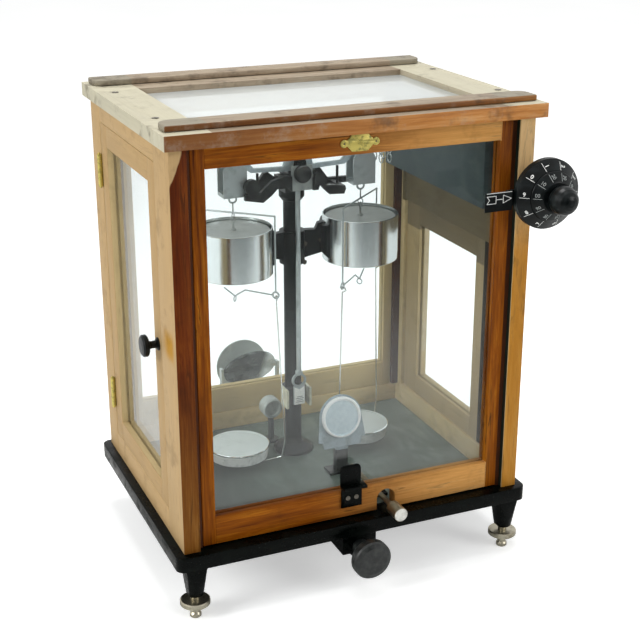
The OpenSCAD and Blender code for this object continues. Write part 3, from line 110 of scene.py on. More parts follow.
# %% A socket that can be added and multiplied
class Wire:
    """A shader socket in Python arithmetic."""

    def __init__(self, finish, socket):
        self.finish, self.socket = finish, socket

    def __add__(self, other):
        return self.finish.maths("ADD", self, other)

    def __radd__(self, other):
        return self.finish.maths("ADD", other, self)

    def __sub__(self, other):
        return self.finish.maths("SUBTRACT", self, other)

    def __rsub__(self, other):
        return self.finish.maths("SUBTRACT", other, self)

    def __mul__(self, other):
        return self.finish.maths("MULTIPLY", self, other)

    def __rmul__(self, other):
        return self.finish.maths("MULTIPLY", other, self)

    def __truediv__(self, other):
        return self.finish.maths("DIVIDE", self, other)

    def __pow__(self, other):
        return self.finish.maths("POWER", self, other)

    def __lt__(self, other):
        return self.finish.maths("LESS_THAN", self, other)


def tone(code):
    """Linear, opaque colour of a web colour such as "A8652C"."""
    parts = [int(code[i:i + 2], 16) / 255 for i in (0, 2, 4)]
    linear = [c / 12.92 if c <= 0.04045 else ((c + 0.055) / 1.055) ** 2.4 for c in parts]
    return (*linear, 1.0)


print("a mid grey is", round(tone("808080")[0], 3))

# %% [markdown]
# ## A material as an object
# Each finish below starts with an empty node tree and adds to it. It could be drawn in the
# node editor by hand, but then no two finishes could share their parts. The short methods
# stand for the nodes that are used most: noise, a smooth step, a ramp, a mix and a bump.


# %% A material that is built node by node
class Finish:
    """One material and the nodes in it."""

    def __init__(self, name):
        self.material = bpy.data.materials.new(name)
        self.material.use_nodes = True
        self.tree = self.material.node_tree
        self.tree.nodes.clear()

    def node(self, kind, settings=None, inputs=None, output=0):
        """Adds a node of a kind, with its settings and its sockets' values or links."""
        made = self.tree.nodes.new("ShaderNode" + kind)
        for key, value in (settings or {}).items():
            if key == "stops":
                ramp = made.color_ramp.elements
                for place, _ in value[1:-1]:
                    ramp.new(place)
                for element, (place, colour) in zip(ramp, value):
                    element.position, element.color = place, colour
            else:
                setattr(made, key, value)
        for key, value in (inputs or {}).items():
            if isinstance(value, Wire):
                self.tree.links.new(value.socket, made.inputs[key])
            else:
                made.inputs[key].default_value = value
        return Wire(self, made.outputs[output]) if len(made.outputs) else made

    def maths(self, operation, a, b):
        return self.node("Math", {"operation": operation}, {0: a, 1: b})

    def place(self):
        """Object coordinates, which are metres in the frame."""
        return self.node("TexCoord", output="Object")

    def axis(self, where, name):
        return self.node("SeparateXYZ", inputs={"Vector": where}, output=name)

    def stretch(self, where, scale, location=(0, 0, 0)):
        return self.node("Mapping", {}, {"Vector": where, "Scale": scale,
                                         "Location": location})

    def noise(self, where, scale, detail=3.0, rough=0.55, warp=0.0):
        return self.node("TexNoise", {}, {"Vector": where, "Scale": scale, "Detail": detail,
                                          "Roughness": rough, "Distortion": warp})

    def span(self, value, low, high):
        """0 below low, 1 above high and smooth between."""
        return self.node("MapRange", {"interpolation_type": "SMOOTHSTEP"},
                         {"Value": value, "From Min": low, "From Max": high})

    def ramp(self, value, *stops):
        return self.node("ValToRGB", {"stops": stops}, {"Fac": value})

    def mix(self, share, a, b):
        """From colour a to colour b; a Mix node has its colours on sockets 6 and 7."""
        return self.node("Mix", {"data_type": "RGBA"}, {0: share, 6: a, 7: b}, 2)

    def bump(self, height, distance, strength=0.5):
        return self.node("Bump", {}, {"Height": height, "Distance": distance,
                                      "Strength": strength})

    def surface(self, **sockets):
        """Closes the material with a Principled shader: base_color=..., roughness=..."""
        named = {k.replace("_", " ").title().replace("Ior", "IOR"): v
                 for k, v in sockets.items()}
        shader = self.node("BsdfPrincipled", {}, named)
        self.node("OutputMaterial", {}, {"Surface": shader})
        return self.material


print("finish kit ready")

# %% [markdown]
# ## Boards with eased edges
# A joiner breaks every sharp edge with a stroke of the plane, and that thin bevel is what
# catches the light on a real case. CAD edges are razor sharp. So each wooden node, and the
# base, is copied, its triangles are merged into plain faces, and a bevel rounds its edges.
# The copy then stands for the CAD node. Wood also needs to know which way a board runs, so
# each loose board gets its own coordinates, with the first one along the grain.


# %% Helpers for pieces
SAME_POINT = 0.000002
SAME_PLANE = math.radians(0.6)
SHARP = math.radians(30)


def only(*pieces):
    """Selects these pieces and nothing else."""
    bpy.ops.object.select_all(action="DESELECT")
    for piece in pieces:
        piece.select_set(True)
    bpy.context.view_layer.objects.active = pieces[0]


def select_nothing(piece, kind="FACE"):
    """Clears the selection inside a mesh, so that elements can be picked by place."""
    only(piece)
    bpy.ops.object.mode_set(mode="EDIT")
    bpy.ops.mesh.select_mode(type=kind)
    bpy.ops.mesh.select_all(action="DESELECT")
    bpy.ops.object.mode_set(mode="OBJECT")


def round_edges(piece, width, segments=2):
    """Bevels the sharp edges by a width in millimetres, and smooths what is left."""
    bevel = piece.modifiers.new("edges", "BEVEL")
    bevel.width, bevel.segments = width * MM, segments
    bevel.limit_method, bevel.angle_limit = "ANGLE", SHARP
    only(piece)
    bpy.ops.object.modifier_apply(modifier="edges")
    bpy.ops.object.shade_smooth_by_angle(angle=SHARP)


def settle(piece, name, finish, body):
    """Puts a piece's place into its mesh and gives it name, finish and body."""
    only(piece)
    bpy.ops.object.transform_apply(location=True, rotation=True, scale=True)
    piece.name = piece.data.name = name
    piece.data.materials.clear()
    piece.data.materials.append(finish)
    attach(piece, body)
    return piece


def eased(node, finish, width):
    """Copy of a CAD node with merged faces and rounded edges, which stands for it."""
    source = nodes[node]
    piece = bpy.data.objects.new(node + "_eased", source.data.copy())
    bpy.context.scene.collection.objects.link(piece)
    only(piece)
    bpy.ops.object.mode_set(mode="EDIT")
    bpy.ops.mesh.select_all(action="SELECT")
    bpy.ops.mesh.remove_doubles(threshold=SAME_POINT)
    bpy.ops.mesh.dissolve_limited(angle_limit=SAME_PLANE)
    bpy.ops.object.mode_set(mode="OBJECT")
    piece.data.polygons.foreach_set("material_index", [0] * len(piece.data.polygons))
    round_edges(piece, width)
    settle(piece, node + "_eased", finish, source["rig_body"])
    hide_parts(node)
    return piece

# %% [markdown]
# ## Which way the grain runs
# In a real frame the grain runs along each board, so it turns at every corner joint. Here
# a frame is one mesh of several boards, and plain coordinates would run the grain the same
# way in all of them. So vertices that edges join are taken as one board, and the longest
# side of its box is the way it runs. A random shift keeps two boards from showing the same
# figure, and a fixed seed gives the same shifts each time.


# %% Coordinates along the grain of each board
def loose_boards(mesh):
    """Lists of the vertices of each loose part of a mesh."""
    parent = list(range(len(mesh.vertices)))

    def root(i):
        while parent[i] != i:
            parent[i] = parent[parent[i]]
            i = parent[i]
        return i

    for edge in mesh.edges:
        a, b = (root(v) for v in edge.vertices)
        parent[a] = b
    boards = {}
    for i in range(len(parent)):
        boards.setdefault(root(i), []).append(i)
    return list(boards.values())


def run_grain(piece, seed):
    """Stores, for each board, coordinates whose first one runs along it."""
    chance = random.Random(seed)
    grain = piece.data.attributes.new("grain", "FLOAT_VECTOR", "POINT")
    boards = loose_boards(piece.data)
    for board in boards:
        spots = [piece.data.vertices[i].co for i in board]
        size = [max(p[k] for p in spots) - min(p[k] for p in spots) for k in range(3)]
        order = sorted(range(3), key=lambda k: -size[k])
        shift = [chance.uniform(0, 9) for _ in range(3)]
        for i, spot in zip(board, spots):
            grain.data[i].vector = [spot[k] + shift[n] for n, k in enumerate(order)]
    return len(boards)


# %% [markdown]
# ## Wood
# The case is a plain hardwood under a thin varnish. Four noises, all drawn out along the
# board, give its figure, its flames, its streaks and its pores. Light and hands have
# changed it: the front is still orange-brown, the left side has bleached to tan, and the
# lid is grey with ground-in dust. Light and shade are also painted in: the tan on the left
# is partly painted light, the right post and the right of the front rails are paler with
# painted light, and faces that stand in the shade are painted dark. So one function takes
# the tones, and masks on the place choose them.


# %% The wood function
def figure_of(f, grain):
    """Noises of a board: its broad figure, its flames, its streaks and its pores."""
    broad = f.noise(f.stretch(grain, (4, 40, 34)), 1, 4, 0.6, 1.2)
    flame = f.noise(f.stretch(grain, (9, 120, 100)), 1, 5, 0.68, 2.2)
    streak = f.noise(f.stretch(grain, (16, 620, 480)), 1, 3, 0.6)
    pore = f.noise(f.stretch(grain, (70, 1900, 1500)), 1, 2, 0.5)
    return broad, flame, streak, pore


def three_tones(f, value, tones):
    return f.ramp(value, (0.3, tone(tones[0])), (0.52, tone(tones[1])),
                  (0.74, tone(tones[2])))


def inside(f, value, low, high, edge=0.0002):
    """1 between two limits of a coordinate."""
    return f.span(value, low - edge, low + edge) * (
        1 - f.span(value, high - edge, high + edge))


def wood(name, tones, zones=(), grime=0.35, lively=0.4):
    """Wood from three tones; zones are (mask function, three other tones, liveliness)."""
    f = Finish(name)
    grain = f.node("Attribute", {"attribute_name": "grain"}, output="Vector")
    where = f.place()
    broad, flame, streak, pore = figure_of(f, grain)
    body = broad * 0.45 + flame * 0.3 + streak * 0.25 - 0.5
    colour = three_tones(f, body * lively + 0.52, tones)
    life = lively
    for mask, other, strength in zones:
        share = mask(f, where)
        colour = f.mix(share, colour, three_tones(f, body * strength + 0.52, other))
        life = life + share * (strength - life)
    dark = f.span(flame, 0.53, 0.66) * f.span(broad, 0.4, 0.6) * life
    colour = f.mix(dark * 0.55, colour, tone("2C1000"))
    pores = f.span(pore, 0.62, 0.72) * f.span(streak, 0.42, 0.6)
    colour = f.mix(pores * 0.3, colour, tone("2A1400"))
    dirt = f.span(f.noise(where, 26, 4, 0.7), 0.52, 0.72) * grime
    colour = f.mix(dirt * 0.7, colour, tone("35240F"))
    rough = 0.46 + 0.22 * streak + 0.2 * dirt
    return f.surface(base_color=colour, roughness=rough, specular_ior_level=0.12,
                     normal=f.bump(streak * 0.6 + pores * -1.0, 0.0002, 0.25))


def on_face(f, value, place):
    """1 on a face that lies at a place, 0 from a millimetre behind it."""
    return 1 - f.span(value, place + 0.0001, place + 0.0009)


def front_face(f, where):
    return on_face(f, f.axis(where, "Y"), CASE_FRONT)


def left_face(f, where):
    return on_face(f, f.axis(where, "X"), CASE_LEFT)


def right_of(f, where, millimetres):
    """0 left of a place and 1 from a millimetre right of it."""
    return f.span(f.axis(where, "X"), x_at(millimetres), x_at(millimetres + 1))


POST_LEFT = 150


def right_post_front(f, where):
    return front_face(f, where) * right_of(f, where, POST_LEFT)


def guide_groove_painted_shade(f, where):
    """Inner side of the right front post, painted nearly black as shade behind the sash."""
    x, y = f.axis(where, "X"), f.axis(where, "Y")
    deep = f.span(y, CASE_FRONT + 0.0008, CASE_FRONT + 0.002)
    near = 1 - f.span(y, y_at(-102), y_at(-101))
    return deep * near * inside(f, x, x_at(120), x_at(178), 0.0004)


def pale_top_patch(f, where):
    """Paler patch at the top of the left post's front, narrowing downwards."""
    x, z = f.axis(where, "X"), f.axis(where, "Z")
    wobble = f.noise(where, 50, 2) * 0.005 - 0.0025
    reach = f.span(z, 0.444, 0.482) * 0.013
    return front_face(f, where) * f.span(z, 0.446, 0.449) * (
        1 - f.span(x + wobble - reach, CASE_LEFT - 0.001, CASE_LEFT + 0.0005))


def low_down(f, where):
    """Foot of the front posts and of the sash, which is paler."""
    return front_face(f, where) * (1 - f.span(f.axis(where, "Z"), 0.10, 0.30))


def below_dial(f, where):
    return right_post_front(f, where) * (1 - f.span(f.axis(where, "Z"), 0.33, 0.43))


def right_board_painted_shade(f, where):
    """The tall board that carries the dial's shafts, with painted shade on its inner side.
    """
    x, y, z = (f.axis(where, k) for k in "XYZ")
    return (f.span(x, x_at(165), x_at(166)) * f.span(z, 0.338, 0.34)
            * inside(f, y, y_at(-112), y_at(112)))


def door_wear(f, where):
    """Yellowed varnish on the front post where a hand opens the door."""
    y, z = f.axis(where, "Y"), f.axis(where, "Z")
    spot = f.noise(where, 45, 3) * 0.012 - 0.006
    return (left_face(f, where) * inside(f, y + spot, y_at(-132), y_at(-106), 0.007)
            * inside(f, z + spot, 0.278, 0.302, 0.007))


def right_door_front_painted_shade(f, where):
    """Front stile of the right door, painted dark as the post's shade."""
    return right_of(f, where, POST_LEFT) * (
        1 - f.span(f.axis(where, "Y"), y_at(-78.5), y_at(-77.5)))


# Upper part of the right door, painted darker as shade.
def right_door_top_painted_shade(f, where):
    return right_of(f, where, POST_LEFT) * f.span(f.axis(where, "Z"), 0.31, 0.312)


SASH_OPENING = 0.107, 0.461


def rails_right_painted_light(f, where):
    """Right half of the front rails, paler with painted light from the right."""
    x, z = f.axis(where, "X"), f.axis(where, "Z")
    rail = 1 - inside(f, z, *SASH_OPENING, 0.0005)
    return rail * f.span(x, x_at(-60), x_at(130)) * (x < x_at(155.5))


ORANGE = ("4C2000", "864600", "B87418")
DARK_POST = ("300D00", "5A2300", "86450A")
NEW_WOOD = ("C2A878", "DCC490", "EEDAAC")
# Painted light: the front of the right post is paler, as if lit and glared from the right.
PALE_POST_PAINTED_LIGHT = ("B08A58", "D4AE78", "ECCFA2")
# Tan of bleached wood, which also carries painted light on the left side.
BLEACHED_AND_PAINTED_LIGHT = ("9C8256", "B89A6E", "CCB286")
case_wood = wood("varnished_case_wood", NEW_WOOD, (
    (right_board_painted_shade, ("5A5240", "75684C", "8E7F60"), 0.4), (left_face, BLEACHED_AND_PAINTED_LIGHT, 0.35),
    (door_wear, ("8A5E14", "B4842C", "CCA44C"), 0.5), (front_face, DARK_POST, 1.3),
    (low_down, ("4E2806", "744612", "9C6C30"), 1.3), (right_post_front, PALE_POST_PAINTED_LIGHT, 0.6),
    (below_dial, ("8A5414", "B07828", "CC9A50"), 0.8),
    (guide_groove_painted_shade, ("0C130D", "141C15", "20281E"), 1.0), (pale_top_patch, BLEACHED_AND_PAINTED_LIGHT, 0.4)))
sash_wood = wood("varnished_sash_wood", ORANGE, (
    (low_down, ("6E4A18", "A8783A", "CC9E60"), 1.2),
    (rails_right_painted_light, ("A67234", "D09854", "E2B678"), 1.0)), grime=0.3, lively=1.5)
inner_wood = wood("bare_inner_wood", NEW_WOOD, grime=0.15)
# The door's left face is bleached and partly painted light from the left; the right door's
# upper part and front stile carry painted shade.
door_wood = wood("bleached_door_wood", ("A08A62", "C2AA7C", "D8C296"), (
    (left_face, ("968054", "B29468", "C8AE82"), 0.35),
    (right_door_top_painted_shade, ("6E6048", "8A7A5C", "A6946E"), 0.4),
    (right_door_front_painted_shade, ("0E1410", "18201A", "262E26"), 0.6)), grime=0.2)
print("woods:", [m.name for m in (case_wood, sash_wood, inner_wood, door_wood)])

# %% [markdown]
# The lid gets its own function, because its top and its edge differ: dust and daylight
# have turned the top grey-brown, and the front edge still shows the orange varnish.


# %% The lid's weathered wood
def weathered(name, edge_y, edge_tones, side_tones):
    """Grey on top, tan on the side boards and on the left, varnished on its front edge."""
    f = Finish(name)
    grain = f.node("Attribute", {"attribute_name": "grain"}, output="Vector")
    where = f.place()
    x, y = f.axis(where, "X"), f.axis(where, "Y")
    broad, flame, streak, _ = figure_of(f, grain)
    body = broad * 0.45 + flame * 0.3 + streak * 0.25 - 0.5
    top = three_tones(f, body + 0.52, ("6E5E48", "958570", "B8AA92"))
    tan = three_tones(f, body * 0.5 + 0.52, side_tones)
    edge = three_tones(f, body * 1.2 + 0.52, edge_tones)
    # Painted shade: the front edge darkens towards the left.
    painted_shade_leftward = 1 - f.span(x, x_at(-210), x_at(130))
    edge = f.mix(painted_shade_leftward * 0.8, edge, tone("5A300E"))
    middle = inside(f, x, x_at(-152), x_at(152))
    colour = f.mix(middle, tan, top)
    colour = f.mix(on_face(f, y, edge_y), colour, edge)
    # The left end is tan: bleached wood, and partly painted light from the left.
    colour = f.mix(1 - f.span(x, x_at(-196.9), x_at(-196.1)), colour, tan)
    dust = f.span(f.noise(where, 34, 5, 0.75), 0.5, 0.74)
    colour = f.mix(dust * 0.35, colour, tone("A8A294"))
    stain = f.span(f.noise(f.stretch(where, (1, 1, 1), (3, 1, 2)), 21, 4, 0.7), 0.53, 0.68)
    colour = f.mix(stain * 0.55, colour, tone("3E3020"))
    rough = 0.55 + 0.3 * dust
    return f.surface(base_color=colour, roughness=rough, specular_ior_level=0.35,
                     normal=f.bump(streak, 0.0003, 0.5))


lid_wood = weathered("weathered_lid_wood", y_at(-152), ("86490E", "BC7A34", "D6A468"),
                     ("A09A84", "BCB69E", "CEC8B2"))
cap_wood = weathered("weathered_cap_wood", y_at(-138), ("5E3610", "8A5620", "AE8048"),
                     ("6E6450", "8A8270", "A8A290"))
print("lid finishes ready")

# %% [markdown]
# ## The boards themselves
# Each wooden node is copied and eased, and the grain is stored on the copy. One table and
# one loop do it for all nine, because only the finish and the width of the bevel differ.
# The seed comes from the length of the node's name, so it never changes.

# %% Copy the boards
board_counts = {}
for node, finish, width, slot in (
        ("corner_posts", case_wood, 0.8, "case_wood"),
        ("case_rails", case_wood, 0.8, "case_wood"),
        ("lid_frame", lid_wood, 1.0, "lid_wood"),
        ("front_sash_frame", sash_wood, 0.6, "case_wood"),
        ("rear_sash_frame", inner_wood, 0.6, "case_wood"),
        ("front_sash_cap", cap_wood, 1.4, "lid_wood"),
        ("rear_sash_cap", cap_wood, 1.4, "lid_wood"),
        ("left_door_frame", door_wood, 0.6, "door_wood"),
        ("right_door_frame", door_wood, 0.6, "door_wood")):
    board_counts[node] = run_grain(eased(node, finish, width), len(node) * 7)
print("boards:", board_counts)

# %% [markdown]
# ## Black enamel and black knobs
# The base, its legs and the castings wear black stoving enamel, glossy but dusty, with a
# green cast where it catches the light. The dial and the knobs are pressed plastic, a
# little duller. Both are nearly black, so dust, scuffs and gloss do all the work.


# %% Enamel, plastic and sheet
def dark_finish(name, base, dust, amount, gloss, scale=60, fleck=True, level=0.2):
    f = Finish(name)
    where = f.place()
    cloud = f.noise(where, scale, 5, 0.7)
    wipe = f.noise(f.stretch(where, (25, 25, 140)), 1, 3, 0.6)
    share = f.span(cloud * 0.6 + wipe * 0.4, 0.44, 0.68)
    colour = f.mix(share * amount, tone(base), tone(dust))
    rough = gloss + 0.3 * share
    if fleck:
        flecks = f.span(f.noise(where, 1500, 1), 0.76, 0.8)
        colour = f.mix(flecks * 0.35, colour, tone("8C948F"))
    return f.surface(base_color=colour, roughness=rough, specular_ior_level=level,
                     normal=f.bump(cloud, 0.0001, 0.12))


enamel = dark_finish("black_stove_enamel", "010302", "0C120E", 0.5, 0.24, level=0.08)
casting = dark_finish("black_enamelled_castings", "0B1112", "2E383A", 0.5, 0.28, 40, False)
plastic = dark_finish("black_pressed_plastic", "060A0A", "1C2426", 0.5, 0.3, 90)
groove = dark_finish("browned_guide_strips", "42200A", "5A3010", 0.5, 0.6, 80, False)
sheet = dark_finish("blue_grey_sheet", "3E4C4E", "626E6C", 0.6, 0.42, 40)
for node, width in (("base_plate", 1.6), ("base_legs", 0.9), ("finger_lift", 0.4)):
    eased(node, enamel, width)
print("dark finishes ready")

# %% [markdown]
# ## Slate floor
# The floor inside the case is a slab of dull slate: cloudy grey, with wipe marks and
# specks of dust that have fallen from forty years of samples. Painted shade darkens it
# to the left, where the case shades it.


# %% Slate
def slate_finish():
    f = Finish("slate_slab")
    where = f.place()
    cloud = f.noise(where, 14, 6, 0.65, 0.8)
    wipe = f.noise(f.stretch(where, (30, 8, 30)), 1, 4, 0.6, 1.0)
    colour = f.ramp(cloud * 0.6 + wipe * 0.4, (0.35, tone("4A5850")), (0.5, tone("627068")),
                    (0.66, tone("849289")))
    shaded = 1 - f.span(f.axis(where, "X"), x_at(-170), x_at(20))
    colour = f.mix(shaded * 0.85, colour, tone("161E1A"))
    specks = f.span(f.noise(where, 900, 1), 0.74, 0.78)
    colour = f.mix(specks * 0.5, colour, tone("B9C0BE"))
    return f.surface(base_color=colour, roughness=0.42 + 0.3 * cloud,
                     normal=f.bump(wipe, 0.0002, 0.2))


slate = slate_finish()

# %% [markdown]
# ## Metals
# Four metals are on show: satin aluminium, turned on a lathe, which leaves fine rings;
# grey drawn wire; dull nickel; and brass that has gone yellow-green. One function makes
# them all from two tones. Lines run round an upright axis, so they change only with Z.


# %% The metal function
def metal(name, clean, tarnished, share, rough, lines=0.0, shine=1.0, scale=70):
    f = Finish(name)
    where = f.place()
    patch = f.span(f.noise(where, scale, 5, 0.7), 0.45, 0.7)
    spots = f.span(f.noise(where, scale * 6, 3, 0.6), 0.6, 0.75)
    colour = f.mix(patch * share, tone(clean), tone(tarnished))
    colour = f.mix(spots * share * 0.7, colour, tone(tarnished))
    rings = f.noise(f.stretch(where, (5, 5, 1500)), 1, 2, 0.6)
    colour = f.mix(rings * lines * 0.35, colour, tone(tarnished))
    gloss = rough + 0.12 * share * patch + lines * 0.1 * rings
    return f.surface(base_color=colour, metallic=shine - 0.25 * patch * share,
                     roughness=gloss)


turned = metal("turned_aluminium", "F2F6F6", "C4CAC9", 0.12, 0.17, 0.8, 1.0, 25)
bell_metal = metal("matt_bell_tops", "B4B8B5", "8C9190", 0.4, 0.5, 0.0, 0.6)
# Painted light: the beam and the wires get pale colours and little metal, for the bright
# haze of the glass over them.
beam_metal_painted_light = metal("beam_alloy", "C6D3D8", "92A1A8", 0.6, 0.4, 0.0, 0.35, 160)
wire_steel_painted_light = metal("drawn_wire", "C6CECF", "8A9494", 0.5, 0.3, 0.0, 0.55)
pan_metal = metal("polished_pans", "F2F5F4", "C8CECC", 0.1, 0.12, 0.2, 1.0, 30)
nickel = metal("dull_nickel", "B4AE9B", "6F6650", 0.7, 0.3)
brass = metal("aged_brass", "D2C268", "6E6F38", 0.9, 0.4, 0.0, 0.55, 220)
screw_steel = metal("dull_screws", "77726A", "4A443A", 0.7, 0.42)
grey_metal = metal("grey_painted_metal", "CDD3D0", "9AA29F", 0.5, 0.45, 0.0, 0.15)
print("metals ready")

# %% [markdown]
# Some nodes are of two metals or have a painted part, because their pieces share one
# solid. A mask on the place tells them apart: `two_part` blends two sets of values.


# %% Finishes with two parts
def two_part(name, first, second, mask):
    """First and second are (colour, roughness, metallic); mask(f, where) is 0 or 1."""
    f = Finish(name)
    where = f.place()
    share = mask(f, where)
    cloud = f.noise(where, 110, 4, 0.65)
    shade = f.span(cloud, 0.4, 0.7)
    colour = f.mix(share, tone(first[0]), tone(second[0]))
    colour = f.mix(shade * 0.35, colour, tone("4E524E"))
    rough = first[1] + share * (second[1] - first[1]) + 0.14 * shade
    shine = first[2] + share * (second[2] - first[2])
    return f.surface(base_color=colour, roughness=rough, metallic=shine,
                     normal=f.bump(cloud, 0.0001, 0.15))


def beyond(axis, low, high):
    """Mask that is 0 up to low and 1 from high, in metres along an axis."""
    return lambda f, where: f.span(f.axis(where, axis), low, high)


knob_and_shaft = two_part(
    "black_knob_on_steel_shaft", ("101313", 0.32, 0.0), ("8F9694", 0.35, 1.0),
    beyond("Y", y_at(-146.2), y_at(-145.8)))
plate_and_boss = two_part(
    "light_plate_and_black_boss", ("0E1112", 0.3, 0.0), ("A9AFAC", 0.4, 0.3),
    beyond("Y", y_at(7.8), y_at(7.95)))
levers_and_rings = two_part(
    "levers_and_bright_rings", ("D6DCDC", 0.25, 0.8), ("B8C4C8", 0.35, 0.6),
    beyond("Z", 0.4225, 0.4228))
nickel_knob = two_part(
    "nickel_knob_with_bright_end", ("E2E1DA", 0.5, 0.2), ("8E826A", 0.36, 1.0),
    beyond("Y", y_at(-171.4), y_at(-170.6)))
carrier = two_part(
    "cream_guards_and_black_clamp", ("16191A", 0.4, 0.1), ("E4E2CB", 0.42, 0.1),
    lambda f, where: 1 - inside(f, f.axis(where, "X"), x_at(-12.4), x_at(12.4)))
plate_and_leg = two_part(
    "grey_plate_and_black_leg", ("1B2021", 0.45, 0.0), ("A9B8C0", 0.45, 0.1),
    beyond("Z", 0.1062, 0.1068))
lens_and_stem = two_part(
    "pale_lens_and_dark_stem", ("33393A", 0.45, 0.2), ("BDC4BF", 0.45, 0.1),
    beyond("Z", 0.1085, 0.109))
arms_and_rod = two_part(
    "black_arms_and_steel_rod", ("8F9694", 0.35, 1.0), ("101314", 0.3, 0.0),
    beyond("Z", 0.3845, 0.3848))
print("two-part finishes ready")

# %% [markdown]
# ## Screen, mirror and pointer scale
# The screen is a thick white ring round ground glass. Its radius, measured in the leaning
# plane, parts the two. The mirror behind the case is dark and mottled, with a painted
# reflection: a pale patch at its right end.


# %% Screen and mirror
SCREEN_PLACE = 25, -42, 144
SCREEN_LEAN = math.radians(10)
GLASS_RADIUS, RING_RADIUS = 0.0194, 0.0197


def screen_finish():
    f = Finish("white_ring_and_ground_glass")
    where = f.place()
    centre = at(*SCREEN_PLACE)
    dx = f.axis(where, "X") - centre.x
    dz = (f.axis(where, "Z") - centre.z) / math.cos(SCREEN_LEAN)
    radius = f.maths("SQRT", dx * dx + dz * dz, 0.0)
    ring = f.span(radius, GLASS_RADIUS, RING_RADIUS)
    frost = f.noise(where, 260, 3)
    glass = f.ramp(frost, (0.35, tone("C6D6DE")), (0.65, tone("D4E2E8")))
    colour = f.mix(ring, glass, tone("FBFDFD"))
    return f.surface(base_color=colour, roughness=0.5 - 0.15 * ring,
                     normal=f.bump(frost, 0.0001, 0.1))


def mirror_finish():
    f = Finish("dark_mirror_with_painted_reflection")
    where = f.place()
    bloom = f.span(f.noise(where, 95, 5, 0.7), 0.48, 0.66)
    # Painted reflection: the right end of the mirror is pale.
    bright = f.span(f.axis(where, "X"), x_at(8), x_at(20))
    colour = f.mix(bright, tone("202A28"), tone("DDE4E2"))
    colour = f.mix(bloom * 0.5, colour, tone("5E6865"))
    return f.surface(base_color=colour, metallic=0.5 - 0.3 * bloom,
                     roughness=0.12 + 0.35 * bloom)


screen_white, mirror_glass = screen_finish(), mirror_finish()

# %% [markdown]
# ## Window glass
# A pane lets light straight through, reflects a few per cent of the room, more at a
# grazing angle, and carries a film of dust that is thickest low down and towards the right,
# where the film also stands in as a painted reflection.
# Refraction would only cost time in flat glass, so a transparent shader is mixed with a
# mirror, and then with a pale film by a noise mask. The share of the mirror is Schlick's
# formula on the facing angle, which is the same on both sides of a pane.


# %% Panes
def pane_finish(name, dust_low, dust_high, veil=0.015):
    """Clear glass with a film of dust; the film grows towards the bottom and the right,
    where it is also a painted reflection.
    """
    f = Finish(name)
    where = f.place()
    smear = f.noise(f.stretch(where, (7, 7, 5)), 1, 5, 0.65, 1.5)
    grains = f.span(f.noise(where, 1300, 1), 0.7, 0.78)
    # Low down and to the right the dust film also stands in as a painted reflection of the
    # white sheet.
    depth = 1 - f.span(f.axis(where, "Z"), 0.10, 0.36)
    rightward = 0.1 + 0.9 * f.span(f.axis(where, "X"), x_at(-150), x_at(60))
    dust_and_painted_reflection = dust_low + (dust_high - dust_low) * depth * f.span(smear, 0.25, 0.7) * rightward
    facing = f.node("LayerWeight", {}, {"Blend": 0.5}, output="Facing")
    mirrored = 0.04 + 0.96 * facing ** 5
    clear = f.node("BsdfTransparent", {}, {"Color": tone("FCFEFE")})
    shine = f.node("BsdfGlossy", {}, {"Color": (1, 1, 1, 1), "Roughness": 0.02})
    glass = f.node("MixShader", {}, {0: mirrored, 1: clear, 2: shine})
    lit = f.node("BsdfDiffuse", {}, {"Color": tone("F6F9F7")})
    through = f.node("BsdfTranslucent", {}, {"Color": tone("FAFCFB")})
    dust = f.node("MixShader", {}, {0: 0.5, 1: lit, 2: through})
    hazy = f.node("MixShader", {}, {0: dust_and_painted_reflection + grains * veil, 1: glass, 2: dust})
    f.node("OutputMaterial", {}, {"Surface": hazy})
    return f.material


front_pane = pane_finish("dusty_front_pane", 0.008, 0.05)
side_pane = pane_finish("dusty_side_pane", 0.015, 0.05)
lid_pane = pane_finish("dusty_lid_pane", 0.42, 0.5, veil=0.2)
print("panes ready")

# %% [markdown]
# ## Engraving
# Lines and figures on the dials are cut and filled with white. At this size a cut cannot
# be told from a thin inlay, so strokes and figures are made as flat solids that stand a
# few hundredths of a millimetre proud. A stroke starts as a cube, is scaled and laid
# between two points, and its edges are rounded with the rest of the inlay.


# %% White inlay
def inlay_finish(name, clean, worn_tone):
    f = Finish(name)
    where = f.place()
    worn = f.span(f.noise(where, 700, 3), 0.5, 0.68)
    colour = f.mix(worn * 0.5, tone(clean), tone(worn_tone))
    return f.surface(base_color=colour, roughness=0.6)


STROKE_HEIGHT, FIGURE_HEIGHT = 0.08, 0.04
white_inlay = inlay_finish("white_inlay", "EDEFEC", "8C918E")
grey_inlay = inlay_finish("grey_inlay", "A2A7A5", "5E6462")


def stroke(start, end, up, width):
    """Flat bar between two points in millimetres, on a face that looks along up."""
    a, b, up = Vector(start), Vector(end), Vector(up).normalized()
    along = (b - a).normalized()
    across = up.cross(along)
    bpy.ops.mesh.primitive_cube_add(size=1)
    piece = bpy.context.object
    length = (b - a).length
    turn = Matrix((along, across, up)).transposed().to_4x4()
    scale = Matrix.Diagonal((length + width, width, STROKE_HEIGHT, 1))
    middle = Matrix.Translation((a + b) / 2)
    piece.matrix_world = Matrix.Scale(MM, 4) @ middle @ turn @ scale
    return piece


def join(parts):
    only(*parts)
    bpy.ops.object.join()
    return bpy.context.view_layer.objects.active


